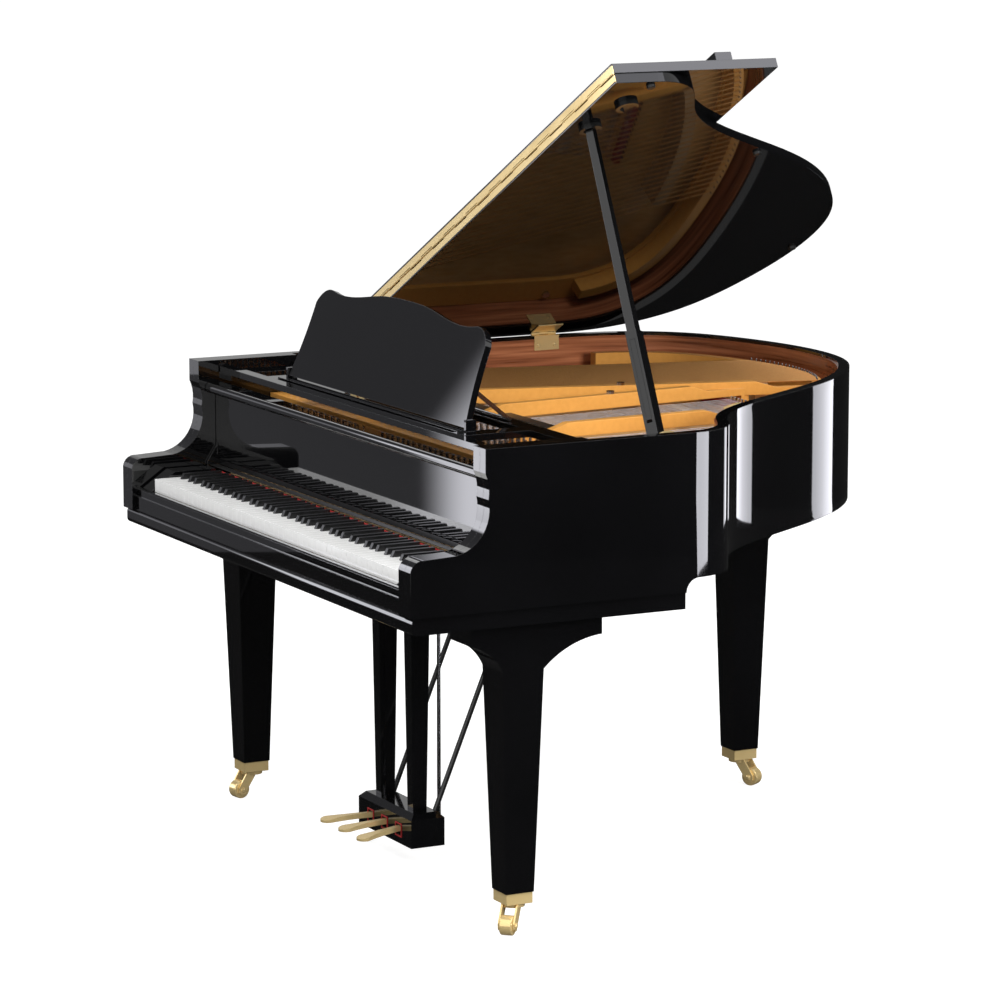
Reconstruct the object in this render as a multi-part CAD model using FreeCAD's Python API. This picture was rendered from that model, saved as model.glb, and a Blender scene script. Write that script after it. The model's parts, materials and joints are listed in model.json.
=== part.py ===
"""A baby grand piano with its lid propped open, built piece by piece.

Millimetres. X runs across the keyboard with the treble at +X, Y runs from the player to the tail
and Z is up from the floor. The pieces are modelled with y = 0 at the front of the arms, and the
last step moves them so that the origin is on the floor at the middle of the case.
"""
import FreeCAD, Part
import math
import os

Vector = FreeCAD.Vector

# General clearances
overrun = 40.0
seat_gap = 0.3
pin_play = 0.05
plan_count = 400

# Case: rim, arms and keybed
keyboard_width = 1224.6
side_width = 112.7
corner_y = 630.0
tail_length = 848.0
rim_top = 990.0
rim_bottom = 698.0
rim_thickness = 24.0
corner_radius = 130.0
corner_turn = 58.0
arm_bottom = 669.0
arm_depth = 162.0
arm_cove_y = 610.0
cheek_thickness = 28.0
cheek_length = 450.0
cheek_end_slope = 50.0
cheek_end_drop = 90.0
bed_bottom = 635.0
bed_inset = 6.0
bed_length = 605.0
bed_nose_radius = 10.0
lining_thickness = 3.0
lining_top_drop = 6.0
inner_rim_thickness = 40.0
belly_rail_y = 605.0
belly_rail_thickness = 40.0
brace_width = 70.0
brace_height = 75.0

# Soundboard, bridges and strings
soundboard_z = 872.0
soundboard_thickness = 9.0
rib_width = 22.0
rib_height = 16.0
rib_pitch = 105.0
rib_count = 6
string_z = 925.0
bass_string_z = 953.0
wire_radius = 0.55
wound_radius = 1.6
wire_pitch = 4.0
string_front_y = 490.0
hitch_inset = 70.0
bridge_width = 30.0
bridge_inset = 110.0
bridge_back = 160.0
bass_bridge_share = 0.86
felt_width = 16.0
felt_height_gap = 0.4

# Iron plate and tuning pins
plate_z = 897.0
plate_thickness = 12.0
plate_front_y = 335.0
plate_front_end_y = 490.0
plate_gap = 1.0
plate_band = 60.0
plate_flange = 24.0
strut_width = 20.0
strut_bottom_gap = 3.0
strut_height = 16.0
strut_foot = 60.0
strut_crest = 14.0
crest_front_gap = 25.0
crest_slope = 45.0
crest_back_gap = 95.0
bar_depth = 12.0
shelf_depth = 18.0
pin_block_thickness = 24.0
pin_block_end_y = 475.0
tuning_pin_radius = 3.0
tuning_pin_height = 38.0
bass_pin_rise = 7.0
tuning_pin_first_y = 362.0
tuning_pin_row = 24.0
tuning_pin_rows = 4
bolt_radius = 9.0
bolt_height = 6.0
bolt_inset = 46.0
bolt_count = 13

# Keyboard, key frame and hammers
white_count = 52
key_front_y = 29.0
key_end_y = 400.0
key_top_z = 745.0
key_depth = 22.0
key_gap = 1.0
white_head_length = 50.0
key_lip_thickness = 3.5
key_lip_drop = 7.0
sharp_gap = 1.6
sharp_width = 10.5
sharp_rise = 12.0
sharp_length = 95.0
sharp_slope = 6.0
balance_y = 250.0
balance_width = 8.0
rail_width = 30.0
front_rail_y = 40.0
back_rail_width = 53.0
key_dip_room = 11.0
key_end_room = 3.7
hammer_pivot_y = 400.0
hammer_pivot_z = 830.0
hammer_pivot_radius = 1.5
hammer_length = 137.0
hammer_width = 8.0
hammer_shank = 8.0
hammer_head_depth = 22.0
hammer_head_drop = 12.0
hammer_head_rise = 48.0
hammer_count = 88
action_beam_depth = 16.0
action_beam_height = 22.0
action_beam_gap = 2.0
action_bracket_thickness = 8.0
action_bracket_depth = 21.0
frame_side_drop = 15.0
damper_y = 560.0
damper_length = 30.0
damper_width = 9.0
damper_height = 15.0
damper_wire_radius = 1.0
damper_rail_z = 795.0
damper_rail_size = 12.0

# Key slip, key blocks and fallboard
slip_front_y = 8.0
slip_thickness = 14.0
slip_height = 49.0
slip_step = 3.0
slip_step_drop = 18.0
key_block_gap = 3.7
key_block_side_gap = 9.0
key_block_height = 88.0
key_block_end_y = 176.0
fallboard_pivot_y = 190.0
fallboard_pivot_z = 752.0
fallboard_front_y = 202.0
fallboard_thickness = 18.0
fallboard_bottom_z = 778.0
fallboard_top_z = 941.0
fallboard_lip_depth = 24.0
fallboard_lip_height = 22.0
fallboard_end_gap = 2.0
fallboard_plate_thickness = 5.0
fallboard_plate_reach = 12.0
fallboard_pin_radius = 4.0

# Music desk, its tray, rails and strut
desk_rail_front_y = 226.0
desk_rail_length = 214.0
desk_rail_width = 33.0
desk_rail_top = 962.0
desk_rail_height = 17.0
tray_gap = 0.5
tray_thickness = 14.0
tray_front_y = 212.0
tray_length = 218.0
tray_side_gap = 5.0
tray_front_width = 28.0
tray_rear_width = 40.0
tray_middle_y = 247.0
tray_middle_width = 47.0
ledge_depth = 19.0
ledge_height = 3.0
tray_arm_width = 40.0
desk_pivot_y = 278.0
desk_pivot_rise = 11.5
desk_width = 850.0
desk_height = 220.0
desk_edge_below_pivot = 8.0
desk_thickness = 14.0
desk_tilt = 19.8
desk_pin_radius = 3.0
desk_pin_length = 14.0
desk_lug_thickness = 8.0
strut_pivot_up = 75.0
strut_pivot_back = 15.0
strut_inset = 65.0
strut_lug_width = 12.0
strut_lug_size = 16.0
strut_bar = 8.0
strut_length = 115.0

# Lid, front flap and their hinges
lid_angle = 27.75
lid_thickness = 20.0
lid_overhang = 5.0
lid_gap = 9.0
lid_split_y = 533.0
lid_hinge_rise = 5.0
lid_barrel_radius = 2.7
lid_hinge_pin_radius = 1.3
lid_leaf_thickness = 2.0
lid_leaf_length = 64.0
lid_leaf_width = 45.0
rim_leaf_drop = 32.0
flap_length = 376.0
flap_gap = 2.0
flap_leaf_thickness = 2.0
flap_leaf_gap = 0.2
flap_leaf_height = 15.0
flap_barrel_gap = 0.4
flap_barrel_length = 60.0
flap_pin_radius = 0.9
flap_rail_y = 277.0
flap_rail_width = 38.0
flap_rail_height = 44.0
flap_rail_gap = 5.0

# Lid prop and its fittings
prop_inset = 70.0
prop_drop = 24.0
prop_y = 580.0
prop_lean = 25.3
prop_fold_inset = 67.0
prop_fold_rise = 3.0
prop_width = 36.0
prop_depth = 24.0
prop_thick_length = 230.0
prop_neck_width = 26.0
prop_neck_depth = 19.0
prop_top_width = 18.0
prop_top_depth = 16.0
prop_pin_radius = 4.0
prop_tip_gap = 2.0
half_prop_length = 165.0
half_prop_pivot = 45.0
half_prop_width = 17.0
half_prop_depth = 11.0
half_prop_gap = 0.5
bracket_thickness = 12.0
bracket_height = 44.0
bracket_length = 44.0
cup_size = 48.0
cup_height = 9.0
cup_slot = 30.0
cup_floor = 3.0
second_cup_shift = Vector(110.0, 30.0, 0.0)
clip_size = 26.0
clip_length = 145.0
clip_reach = 9.0

# Legs and casters
front_leg_inset = 85.0
front_leg_y = 266.0
leg_foot_size = 62.0
leg_top_size = 90.0
ferrule_top_z = 83.6
capital_block = 40.0
capital_cove = 58.0
capital_front_reach = 71.0
capital_rear_reach = 130.0
mount_board_upper = 18.0
mount_board_lower = 14.0
mount_board_width = 330.0
mount_board_length = 220.0
lower_board_width = 220.0
lower_board_length = 165.0
ferrule_size = 58.0
ferrule_bottom_z = 60.6
wheel_radius = 20.0
wheel_width = 26.0
wheel_fillet = 3.0
axle_radius = 3.0
caster_offset = 34.0
fork_cheek = 4.0
fork_cheek_gap = 0.6
fork_crown_radius = 24.0
fork_crown_thickness = 8.0
fork_bend_radius = 11.0
stem_radius = 6.0
stem_length = 17.0
front_left_caster_turn = -80.0
front_right_caster_turn = -45.0
rear_caster_turn = 30.0

# Lyre and pedals
lyre_y = 330.0
lyre_block_width = 220.0
lyre_block_depth = 84.0
lyre_block_height = 36.0
post_spread = 77.0
post_top_width = 38.0
post_top_depth = 45.0
post_foot_width = 26.0
post_foot_depth = 32.0
pedal_box_width = 257.0
pedal_box_depth = 78.0
pedal_box_bottom = 47.0
pedal_box_height = 72.0
pedal_box_hip = 12.0
pedal_box_wall = 12.0
pedal_pitch = 68.0
pedal_splay = 22.0
pedal_z = 79.0
pedal_pivot_y = 326.0
pedal_thickness = 10.0
pedal_length = 142.0
pedal_tail = 66.0
pedal_neck = 15.0
pedal_tip_width = 36.0
pedal_droop = 10.0
pedal_pin_radius = 3.0
pedal_swing = 8.0
pedal_stock_height = 160.0
slot_play = 2.0
rod_radius = 4.0
rod_y = 386.0
rod_hole_play = 0.4
rod_tail_gap = 0.5
rod_top_z = 655.0
brace_spread = 100.0
brace_radius = 5.5
brace_top_y = 575.0

# Outlines, as shares of the sizes they follow
rim_plan_shares = (
    (-0.500, 0.530), (-0.483, 0.712), (-0.428, 0.852), (-0.317, 0.951), (-0.172, 1.000),
    (-0.035, 0.970), (0.055, 0.888), (0.135, 0.765), (0.200, 0.620), (0.276, 0.416),
    (0.340, 0.269), (0.400, 0.182),
)
arm_nose_share = 0.258
arm_nose_arc_shares = ((0.055, 0.335), (0.185, 0.355))
arm_level_share = (0.605, 0.365)
arm_sweep_shares = ((0.915, 0.450), (1.040, 0.690))
arm_ogee_shares = ((1.045, 0.770), (1.000, 0.850))
desk_half_shares = (
    (0.000, 1.000), (0.120, 0.985), (0.235, 0.925), (0.320, 0.897), (0.400, 0.920),
)
desk_corner_shares = ((0.450, 0.880), (0.475, 0.770))
desk_side_shares = ((0.479, 0.420), (0.500, 0.000))
plain_section_shares = ((0.414, 0.228, 20), (0.200, 0.030, 19), (0.002, -0.122, 15))
bass_section_shares = (-0.172, -0.412, 24)
strut_shares = (0.214, 0.016)
bass_strut_share = -0.1593
plain_hitch_share = 0.605
brace_shares = (-0.360, -0.167, 0.055)
lid_hinge_shares = (0.0825, 0.4900)
prop_fold_share = 0.271
rear_leg_shares = (-0.1669, 0.7948)
plain_lean_share = -0.12
bass_lean_share = 0.27
sharp_shift_shares = {0: -0.11, 1: 0.11, 3: -0.15, 4: 0.0, 5: 0.15}
damper_side_share = 0.333
hammer_shoulder_share = 0.62
hammer_crown_share = 0.25
lip_round_share = 0.40
cove_middle_share = (0.42, 0.66)
pedal_waist_share = 0.45
pedal_droop_share = 0.30

# Sizes that follow from the ones above
case_width = keyboard_width + 2 * side_width
case_depth = corner_y + tail_length
plain_hitch_y = corner_y + plain_hitch_share * tail_length
lid_hinge_ys = [corner_y + share * tail_length for share in lid_hinge_shares]
strut_pivot_x = desk_width / 2 - strut_inset
front_leg_x = case_width / 2 - front_leg_inset
rear_leg_x = rear_leg_shares[0] * case_width
rear_leg_y = corner_y + rear_leg_shares[1] * tail_length


def box(x0, x1, y0, y1, z0, z1):
    """Block between two corners."""
    return Part.makeBox(x1 - x0, y1 - y0, z1 - z0, Vector(x0, y0, z0))


def side_prism(profile, x0, x1):
    """Block with a straight-sided profile in Y and Z, from x0 to x1."""
    points = [Vector(x0, y, z) for y, z in profile]
    face = Part.Face(Part.makePolygon(points + points[:1]))
    return face.extrude(Vector(x1 - x0, 0, 0))


def flat_prism(outline, z0, z1):
    """Block with a straight-sided outline in X and Y, from z0 to z1."""
    points = [Vector(x, y, z0) for x, y in outline]
    face = Part.Face(Part.makePolygon(points + points[:1]))
    return face.extrude(Vector(0, 0, z1 - z0))


def rod(start, end, radius):
    """Round bar between two points."""
    run = end.sub(start)
    return Part.makeCylinder(radius, run.Length, start, run)


def x_rod(y, z, radius, x0, x1):
    """Round bar along X."""
    return rod(Vector(x0, y, z), Vector(x1, y, z), radius)


def taper(foot_x, foot_y, foot_z, top_x, top_y, top_z, x, y):
    """Four-sided post whose section changes from foot to top."""
    wires = []
    for size_x, size_y, z in ((foot_x, foot_y, foot_z), (top_x, top_y, top_z)):
        corners = [Vector(x + sx * size_x / 2, y + sy * size_y / 2, z)
                   for sx, sy in ((-1, -1), (1, -1), (1, 1), (-1, 1))]
        wires.append(Part.makePolygon(corners + corners[:1]))
    return Part.makeLoft(wires, True, True)


def mirror_x(shape):
    """The same piece on the other side of the middle."""
    return shape.mirror(Vector(0, 0, 0), Vector(1, 0, 0))


def fused(pieces):
    """One solid from pieces that run into each other."""
    return pieces[0].multiFuse(list(pieces[1:])).removeSplitter()


def save(node, *pieces):
    """Move the pieces to the part's frame and write them under the node's name."""
    shape = Part.makeCompound([solid for piece in pieces for solid in piece.Solids])
    shape.translate(Vector(0, -case_depth / 2, 0))
    shape.exportStep(os.path.join("parts", node + ".step"))
    print(node, len(shape.Solids), shape.isValid())


# Plan of the case

def plan_edges(inset):
    """The tail and bent side as a curve and the treble corner as an arc, set in from the outside."""
    turn = math.radians(corner_turn)
    centre = Vector(case_width / 2 - corner_radius, corner_y, 0)
    corner = centre + Vector(math.cos(turn), math.sin(turn), 0) * corner_radius
    points = [Vector(x * case_width, corner_y + y * tail_length, 0) for x, y in rim_plan_shares] + [corner]
    start_way = Vector(0, 1, 0)
    end_way = Vector(math.sin(turn), -math.cos(turn), 0)
    curve = Part.BSplineCurve()
    curve.interpolate(Points=points, InitialTangent=start_way, FinalTangent=end_way,
                      Scale=False)
    steps = 3 * len(points)
    inner = []
    for step in range(steps + 1):
        place = curve.FirstParameter + (curve.LastParameter - curve.FirstParameter) * step / steps
        along = curve.tangent(place)[0]
        inner.append(curve.value(place) + Vector(along.y, -along.x, 0) * inset)
    curve.interpolate(Points=inner, InitialTangent=start_way, FinalTangent=end_way,
                      Scale=False)
    radius = corner_radius - inset
    middle = centre + Vector(math.cos(turn / 2), math.sin(turn / 2), 0) * radius
    end = centre + Vector(radius, 0, 0)
    return [curve.toShape(), Part.Arc(inner[-1], middle, end).toShape()], inner[0], end


def plan_points(inset, count):
    """Evenly spaced places along the tail, bent side and treble corner."""
    return Part.Wire(plan_edges(inset)[0]).discretize(Number=count)


def plan_prism(inset, front_y, z0, z1):
    """The case's plan, set in from the outside and cut straight at the front."""
    edges, start, end = plan_edges(inset)
    front = [Vector(end.x, front_y, 0), Vector(start.x, front_y, 0)]
    edges += [Part.makeLine(end, front[0]), Part.makeLine(*front), Part.makeLine(front[1], start)]
    face = Part.Face(Part.Wire(edges))
    face.translate(Vector(0, 0, z0))
    return face.extrude(Vector(0, 0, z1 - z0))


def plan_ring(inset, thickness, front_y, z0, z1):
    """Band of even thickness that follows the case's plan and is open at the front."""
    outer = plan_prism(inset, front_y, z0, z1)
    inner = plan_prism(inset + thickness, front_y - overrun, z0 - overrun, z1 + overrun)
    return outer.cut(inner)


hitch_points = plan_points(hitch_inset, plan_count)
bridge_points = plan_points(bridge_inset, plan_count)


def meeting_y(points, x, lean):
    """Where a string that starts at x and leans sideways meets a line round the back of the case."""
    for here, ahead in zip(points, points[1:]):
        offset = here.x - x - lean * (here.y - string_front_y)
        next_offset = ahead.x - x - lean * (ahead.y - string_front_y)
        if offset <= 0 < next_offset:
            return here.y
    return points[-1].y


# Case

def arm_air():
    """The space in front of and above the curved arms."""
    height = rim_top - arm_bottom

    def at(share):
        return Vector(-case_width, share[0] * arm_depth, arm_bottom + share[1] * height)

    nose = at((0, arm_nose_share))
    top = Vector(-case_width, arm_depth, rim_top + overrun)
    front = Vector(-case_width, -overrun, rim_top + overrun)
    low = Vector(-case_width, -overrun, nose.z)
    edges = [
        Part.Arc(nose, at(arm_nose_arc_shares[0]), at(arm_nose_arc_shares[1])).toShape(),
        Part.makeLine(at(arm_nose_arc_shares[1]), at(arm_level_share)),
        Part.Arc(at(arm_level_share), at(arm_sweep_shares[0]), at(arm_sweep_shares[1])).toShape(),
        Part.Arc(at(arm_sweep_shares[1]), at(arm_ogee_shares[0]), at(arm_ogee_shares[1])).toShape(),
        Part.makeLine(at(arm_ogee_shares[1]), top),
        Part.makeLine(top, front),
        Part.makeLine(front, low),
        Part.makeLine(low, nose),
    ]
    return Part.Face(Part.Wire(edges)).extrude(Vector(2 * case_width, 0, 0))


def rim_underside_air():
    """The space under the rim behind the arms, with a cove where the arms end."""
    cove = rim_bottom - arm_bottom
    x = -case_width
    back_y = case_depth + overrun
    low = arm_bottom - overrun
    start = Vector(x, arm_cove_y, arm_bottom)
    middle = Vector(x, arm_cove_y + cove * (1 - math.sqrt(0.5)), arm_bottom + cove * math.sqrt(0.5))
    end = Vector(x, arm_cove_y + cove, rim_bottom)
    corners = [Vector(x, back_y, rim_bottom), Vector(x, back_y, low), Vector(x, arm_cove_y, low)]
    edges = [
        Part.Arc(start, middle, end).toShape(),
        Part.makeLine(end, corners[0]),
        Part.makeLine(corners[0], corners[1]),
        Part.makeLine(corners[1], corners[2]),
        Part.makeLine(corners[2], start),
    ]
    return Part.Face(Part.Wire(edges)).extrude(Vector(2 * case_width, 0, 0))


cheek_outer_x = case_width / 2 - rim_thickness
cheek_inner_x = cheek_outer_x - cheek_thickness


def make_case():
    """Outer rim with the arms, the cheeks inside them, the mahogany lining and the inner rim."""
    air = arm_air()
    rim = plan_ring(0, rim_thickness, 0, arm_bottom, rim_top)
    save("case_rim", rim.cut(rim_underside_air()).cut(air))
    cheek = side_prism(((0, arm_bottom), (cheek_length, arm_bottom),
                        (cheek_length, rim_top - cheek_end_drop),
                        (cheek_length - cheek_end_slope, rim_top), (0, rim_top)),
                       cheek_inner_x, cheek_outer_x).cut(air)
    pin = x_rod(fallboard_pivot_y, fallboard_pivot_z, fallboard_pin_radius,
                cheek_inner_x - fallboard_end_gap - fallboard_plate_thickness, cheek_inner_x)
    cheek = fused([cheek, pin])
    save("arm_cheeks", cheek, mirror_x(cheek))
    lining_bottom = soundboard_z + soundboard_thickness
    save("rim_lining", plan_ring(rim_thickness, lining_thickness, cheek_length, lining_bottom,
                                 rim_top - lining_top_drop))
    inner_rim = plan_ring(rim_thickness, inner_rim_thickness, belly_rail_y, rim_bottom, soundboard_z)
    save("inner_rim", inner_rim.cut(belly_rail()))


def belly_rail():
    """Heavy rail across the case in front of the soundboard."""
    inside = plan_prism(rim_thickness, belly_rail_y, rim_bottom, soundboard_z)
    return inside.common(box(-case_width, case_width, belly_rail_y, belly_rail_y + belly_rail_thickness,
                             rim_bottom, soundboard_z))


def make_braces():
    """Belly rail across the case, the beams behind it and the boards over the rear leg."""
    inside = plan_prism(rim_thickness + inner_rim_thickness, belly_rail_y, rim_bottom, soundboard_z)
    start_y = belly_rail_y + belly_rail_thickness
    beams = []
    for share in brace_shares:
        x = share * case_width
        beam = box(x - brace_width / 2, x + brace_width / 2, start_y, case_depth,
                   rim_bottom, rim_bottom + brace_height)
        beams.append(beam.common(inside))
    upper = box(rear_leg_x - mount_board_width / 2, rear_leg_x + mount_board_width / 2,
                rear_leg_y - mount_board_length / 2, rear_leg_y + mount_board_length / 2,
                rim_bottom - mount_board_upper, rim_bottom)
    lower = box(rear_leg_x - lower_board_width / 2, rear_leg_x + lower_board_width / 2,
                rear_leg_y - lower_board_length / 2, rear_leg_y + lower_board_length / 2,
                rim_bottom - mount_board_upper - mount_board_lower, rim_bottom - mount_board_upper)
    save("case_braces", belly_rail(), *beams, upper, lower)


def make_keybed():
    """Board under the keyboard with a rounded nose, and the holes for the pedal rods."""
    half = case_width / 2 - bed_inset
    board = box(-half, half, bed_inset, bed_inset + bed_length, bed_bottom, arm_bottom)
    nose = [edge for edge in board.Edges
            if abs(edge.CenterOfMass.y - bed_inset) < seat_gap and abs(edge.CenterOfMass.x) < seat_gap]
    board = board.makeFillet(bed_nose_radius, nose)
    holes = [rod(Vector(x, rod_y, bed_bottom - overrun), Vector(x, rod_y, arm_bottom + overrun),
                 rod_radius + rod_hole_play) for x in (-pedal_pitch, 0, pedal_pitch)]
    save("keybed", board.cut(Part.makeCompound(holes)))


# Soundboard, plate and strings

def choir_lines():
    """Each wire as start x, lean, back y, pin row and height."""
    plain = []
    row = 0
    for first, last, count in plain_section_shares:
        for step in range(count):
            x = case_width * (first + (last - first) * step / (count - 1))
            lean = plain_lean_share * (plain_section_shares[0][0] * case_width - x) / case_width * 2
            for side in (-1, 1):
                start_x = x + side * wire_pitch / 2
                back = min(meeting_y(hitch_points, start_x, lean), plain_hitch_y)
                plain.append((start_x, lean, back, row % tuning_pin_rows))
                row += 1
    bass = []
    first, last, count = bass_section_shares
    for step in range(count):
        x = case_width * (first + (last - first) * step / (count - 1))
        bass.append((x, bass_lean_share, meeting_y(hitch_points, x, bass_lean_share), step % 2))
    return plain, bass


plain_lines, bass_lines = choir_lines()
strut_z = string_z + wire_radius + strut_bottom_gap


def on_line(line, y, z):
    """Point of a string's line at a place along the case."""
    return Vector(line[0] + line[1] * (y - string_front_y), y, z)


def pin_y(line):
    """Place of a string's tuning pin."""
    return tuning_pin_first_y + tuning_pin_row * line[3]


def make_strings():
    """Plain wires, wound bass strings above them, and the tuning pins at their front ends."""
    reach = tuning_pin_radius + seat_gap
    for node, lines, z, radius in (("plain_strings", plain_lines, string_z, wire_radius),
                                   ("wound_strings", bass_lines, bass_string_z, wound_radius)):
        wires = [rod(on_line(line, pin_y(line) + reach, z), on_line(line, line[2], z), radius)
                 for line in lines]
        save(node, *wires)
    top = plate_z + plate_thickness
    pins = []
    for line in plain_lines:
        pins.append(rod(on_line(line, pin_y(line), top),
                        on_line(line, pin_y(line), top + tuning_pin_height), tuning_pin_radius))
    for line in bass_lines:
        pins.append(rod(on_line(line, pin_y(line), top),
                        on_line(line, pin_y(line), bass_string_z + bass_pin_rise), tuning_pin_radius))
    save("tuning_pins", *pins)


def band(points, width, z0, z1):
    """Bar of even width along a curve through the points."""
    curve = Part.BSplineCurve()
    curve.interpolate(points)
    sides = []
    steps = 2 * len(points)
    for sign in (-1, 1):
        side = []
        for step in range(steps + 1):
            place = curve.FirstParameter + (curve.LastParameter - curve.FirstParameter) * step / steps
            along = curve.tangent(place)[0]
            side.append(curve.value(place) + Vector(-along.y, along.x, 0) * sign * width / 2)
        edge = Part.BSplineCurve()
        edge.interpolate(side)
        sides.append(edge)
    ends = [(edge.value(edge.FirstParameter), edge.value(edge.LastParameter)) for edge in sides]
    edges = [sides[0].toShape(), Part.makeLine(ends[0][1], ends[1][1]), sides[1].toShape(),
             Part.makeLine(ends[1][0], ends[0][0])]
    face = Part.Face(Part.Wire(Part.sortEdges(edges)[0]))
    face.translate(Vector(0, 0, z0))
    return face.extrude(Vector(0, 0, z1 - z0))


def make_soundboard():
    """Soundboard on the inner rim, its ribs, and the two bridges that carry the strings."""
    top = soundboard_z + soundboard_thickness
    save("soundboard", plan_prism(rim_thickness, belly_rail_y, soundboard_z, top))
    inside = plan_prism(rim_thickness + inner_rim_thickness + seat_gap, belly_rail_y,
                        soundboard_z - rib_height, soundboard_z)
    ribs = []
    for index in range(rib_count):
        y = belly_rail_y + belly_rail_thickness + rib_pitch * (index + 1)
        rib = box(-case_width / 2, case_width / 2, y - rib_width / 2, y + rib_width / 2,
                  soundboard_z - rib_height, soundboard_z)
        ribs.append(rib.common(inside))
    save("soundboard_ribs", *ribs)
    plain_points = []
    for line in plain_lines[::9] + plain_lines[-1:]:
        y = min(meeting_y(bridge_points, line[0], line[1]), plain_hitch_y - bridge_back)
        plain_points.append(on_line(line, y, 0))
    plain_bridge = band(plain_points, bridge_width, top, string_z - wire_radius - seat_gap)
    bass_points = []
    for line in bass_lines[::6] + bass_lines[-1:]:
        y = string_front_y + bass_bridge_share * (line[2] - string_front_y)
        bass_points.append(on_line(line, y, 0))
    bass_bridge = band(bass_points, bridge_width, top, bass_string_z - wound_radius - seat_gap)
    notches = [slanted_bar(line, plain_hitch_y, case_depth, strut_width + 2 * plate_gap,
                           strut_z - plate_gap, rim_top) for line in strut_lines()]
    save("bridges", plain_bridge, bass_bridge.cut(Part.makeCompound(notches)))


def strut_lines():
    """Lines of the plate's struts, leaning with the strings beside them. The last two run together."""
    lines = []
    for share in strut_shares:
        x = share * case_width
        lean = plain_lean_share * (plain_section_shares[0][0] * case_width - x) / case_width * 2
        lines.append((x, lean, meeting_y(hitch_points, x, lean)))
    bass_x = bass_strut_share * case_width
    x, lean, _ = lines[-1]
    lines[-1] = (x, lean, string_front_y + (x - bass_x) / (bass_lean_share - lean))
    return lines + [(bass_x, bass_lean_share, meeting_y(hitch_points, bass_x, bass_lean_share))]


def slanted_bar(line, y0, y1, width, z0, z1):
    """Bar along a string's line."""
    half = width / 2
    near = on_line(line, y0, 0)
    far = on_line(line, y1, 0)
    return flat_prism(((near.x - half, y0), (near.x + half, y0), (far.x + half, y1), (far.x - half, y1)),
                      z0, z1)


def crest(line):
    """Upper part of a strut, sloped at both ends."""
    start = plate_front_end_y + crest_front_gap
    end = line[2] - crest_back_gap
    low = strut_z + strut_height
    high = low + strut_crest
    points = [on_line(line, y, z) - Vector(strut_width / 2, 0, 0)
              for y, z in ((start, low), (end, low), (end - crest_slope, high), (start + crest_slope, high))]
    return Part.Face(Part.makePolygon(points + points[:1])).extrude(Vector(strut_width, 0, 0))


def make_plate():
    """Cast iron plate: a band round the case, a front web, struts over the strings, and its bolts."""
    top = plate_z + plate_thickness
    outside = rim_thickness + lining_thickness + plate_gap
    ring = plan_ring(outside, plate_band, cheek_length, plate_z, top)
    flange = plan_ring(outside, plate_flange, belly_rail_y, soundboard_z + soundboard_thickness, plate_z)
    side = cheek_inner_x - plate_gap
    web = box(-side, side, plate_front_y, plate_front_end_y, plate_z, top)
    pieces = [ring, flange, web]
    for line in strut_lines():
        far = line[2] + bar_depth
        pieces.append(slanted_bar(line, plate_front_end_y - strut_foot, far, strut_width,
                                  strut_z, strut_z + strut_height))
        pieces.append(slanted_bar(line, plate_front_end_y - strut_foot, plate_front_end_y, strut_width,
                                  top, strut_z))
        pieces.append(slanted_bar(line, line[2] - felt_width / 2, far, strut_width, top, strut_z))
        pieces.append(crest(line))
    first_x = plain_section_shares[0][0] * case_width + wire_pitch * 2
    last_x = plain_section_shares[-1][1] * case_width - wire_pitch * 2
    bass_first_x = bass_section_shares[0] * case_width + wire_pitch * 2
    bass_last_x = bass_section_shares[1] * case_width - wire_pitch * 2
    pieces.append(box(last_x, first_x, plate_front_end_y - bar_depth, plate_front_end_y, top,
                      string_z - wire_radius - seat_gap))
    pieces.append(box(bass_last_x, bass_first_x, plate_front_end_y - bar_depth, plate_front_end_y, top,
                      bass_string_z - wound_radius - seat_gap))
    shelf_x = on_line(plain_lines[-1], plain_hitch_y, 0).x - strut_width
    shelf = box(shelf_x, case_width / 2, plain_hitch_y - felt_width - bar_depth,
                plain_hitch_y + shelf_depth, plate_z, top)
    pieces.append(shelf.common(plan_prism(outside, belly_rail_y, plate_z, top)))
    bass_hitch = plan_ring(hitch_inset - bar_depth, bar_depth * 2, belly_rail_y, top,
                           bass_string_z - wound_radius - seat_gap)
    bass_end = on_line(bass_lines[0], bass_lines[0][2], 0).x + bar_depth
    pieces.append(bass_hitch.common(box(-case_width, bass_end, plain_hitch_y, case_depth, plate_z, rim_top)))
    plate = fused(pieces)
    save("iron_plate", plate)
    bolts = []
    for spot in plan_points(bolt_inset, bolt_count):
        bolts.append(rod(Vector(spot.x, spot.y, top), Vector(spot.x, spot.y, top + bolt_height), bolt_radius))
    for line in strut_lines():
        middle_y = (plate_front_end_y + line[2]) / 2
        for y, rise in ((plate_front_end_y - strut_foot / 2, 0), (middle_y, strut_crest)):
            base = on_line(line, y, strut_z + strut_height + rise)
            bolts.append(rod(base, base + Vector(0, 0, bolt_height), bolt_radius))
    save("plate_bolts", *bolts)
    block_low = plate_z - pin_block_thickness
    save("pin_block", box(-side, side, plate_front_y, pin_block_end_y, block_low, plate_z))
    felt_top = string_z - wire_radius - felt_height_gap
    treble_felt = plan_ring(hitch_inset, felt_width, belly_rail_y, top, felt_top)
    treble_area = box(0, case_width / 2, belly_rail_y, plain_hitch_y - felt_width, plate_z, rim_top)
    tenor_felt = box(shelf_x, case_width / 2, plain_hitch_y - felt_width, plain_hitch_y, top, felt_top)
    tenor_area = plan_prism(hitch_inset, belly_rail_y, plate_z, rim_top)
    save("string_felts", treble_felt.common(treble_area).cut(plate), tenor_felt.common(tenor_area).cut(plate))


# Keyboard and action

key_bottom_z = key_top_z - key_depth
balance_z = key_bottom_z - seat_gap - balance_width / 2
white_pitch = keyboard_width / white_count
letter_names = "CDEFGAB"
first_letter = letter_names.index("A")
sharp_letters = tuple(sharp_shift_shares)


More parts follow.
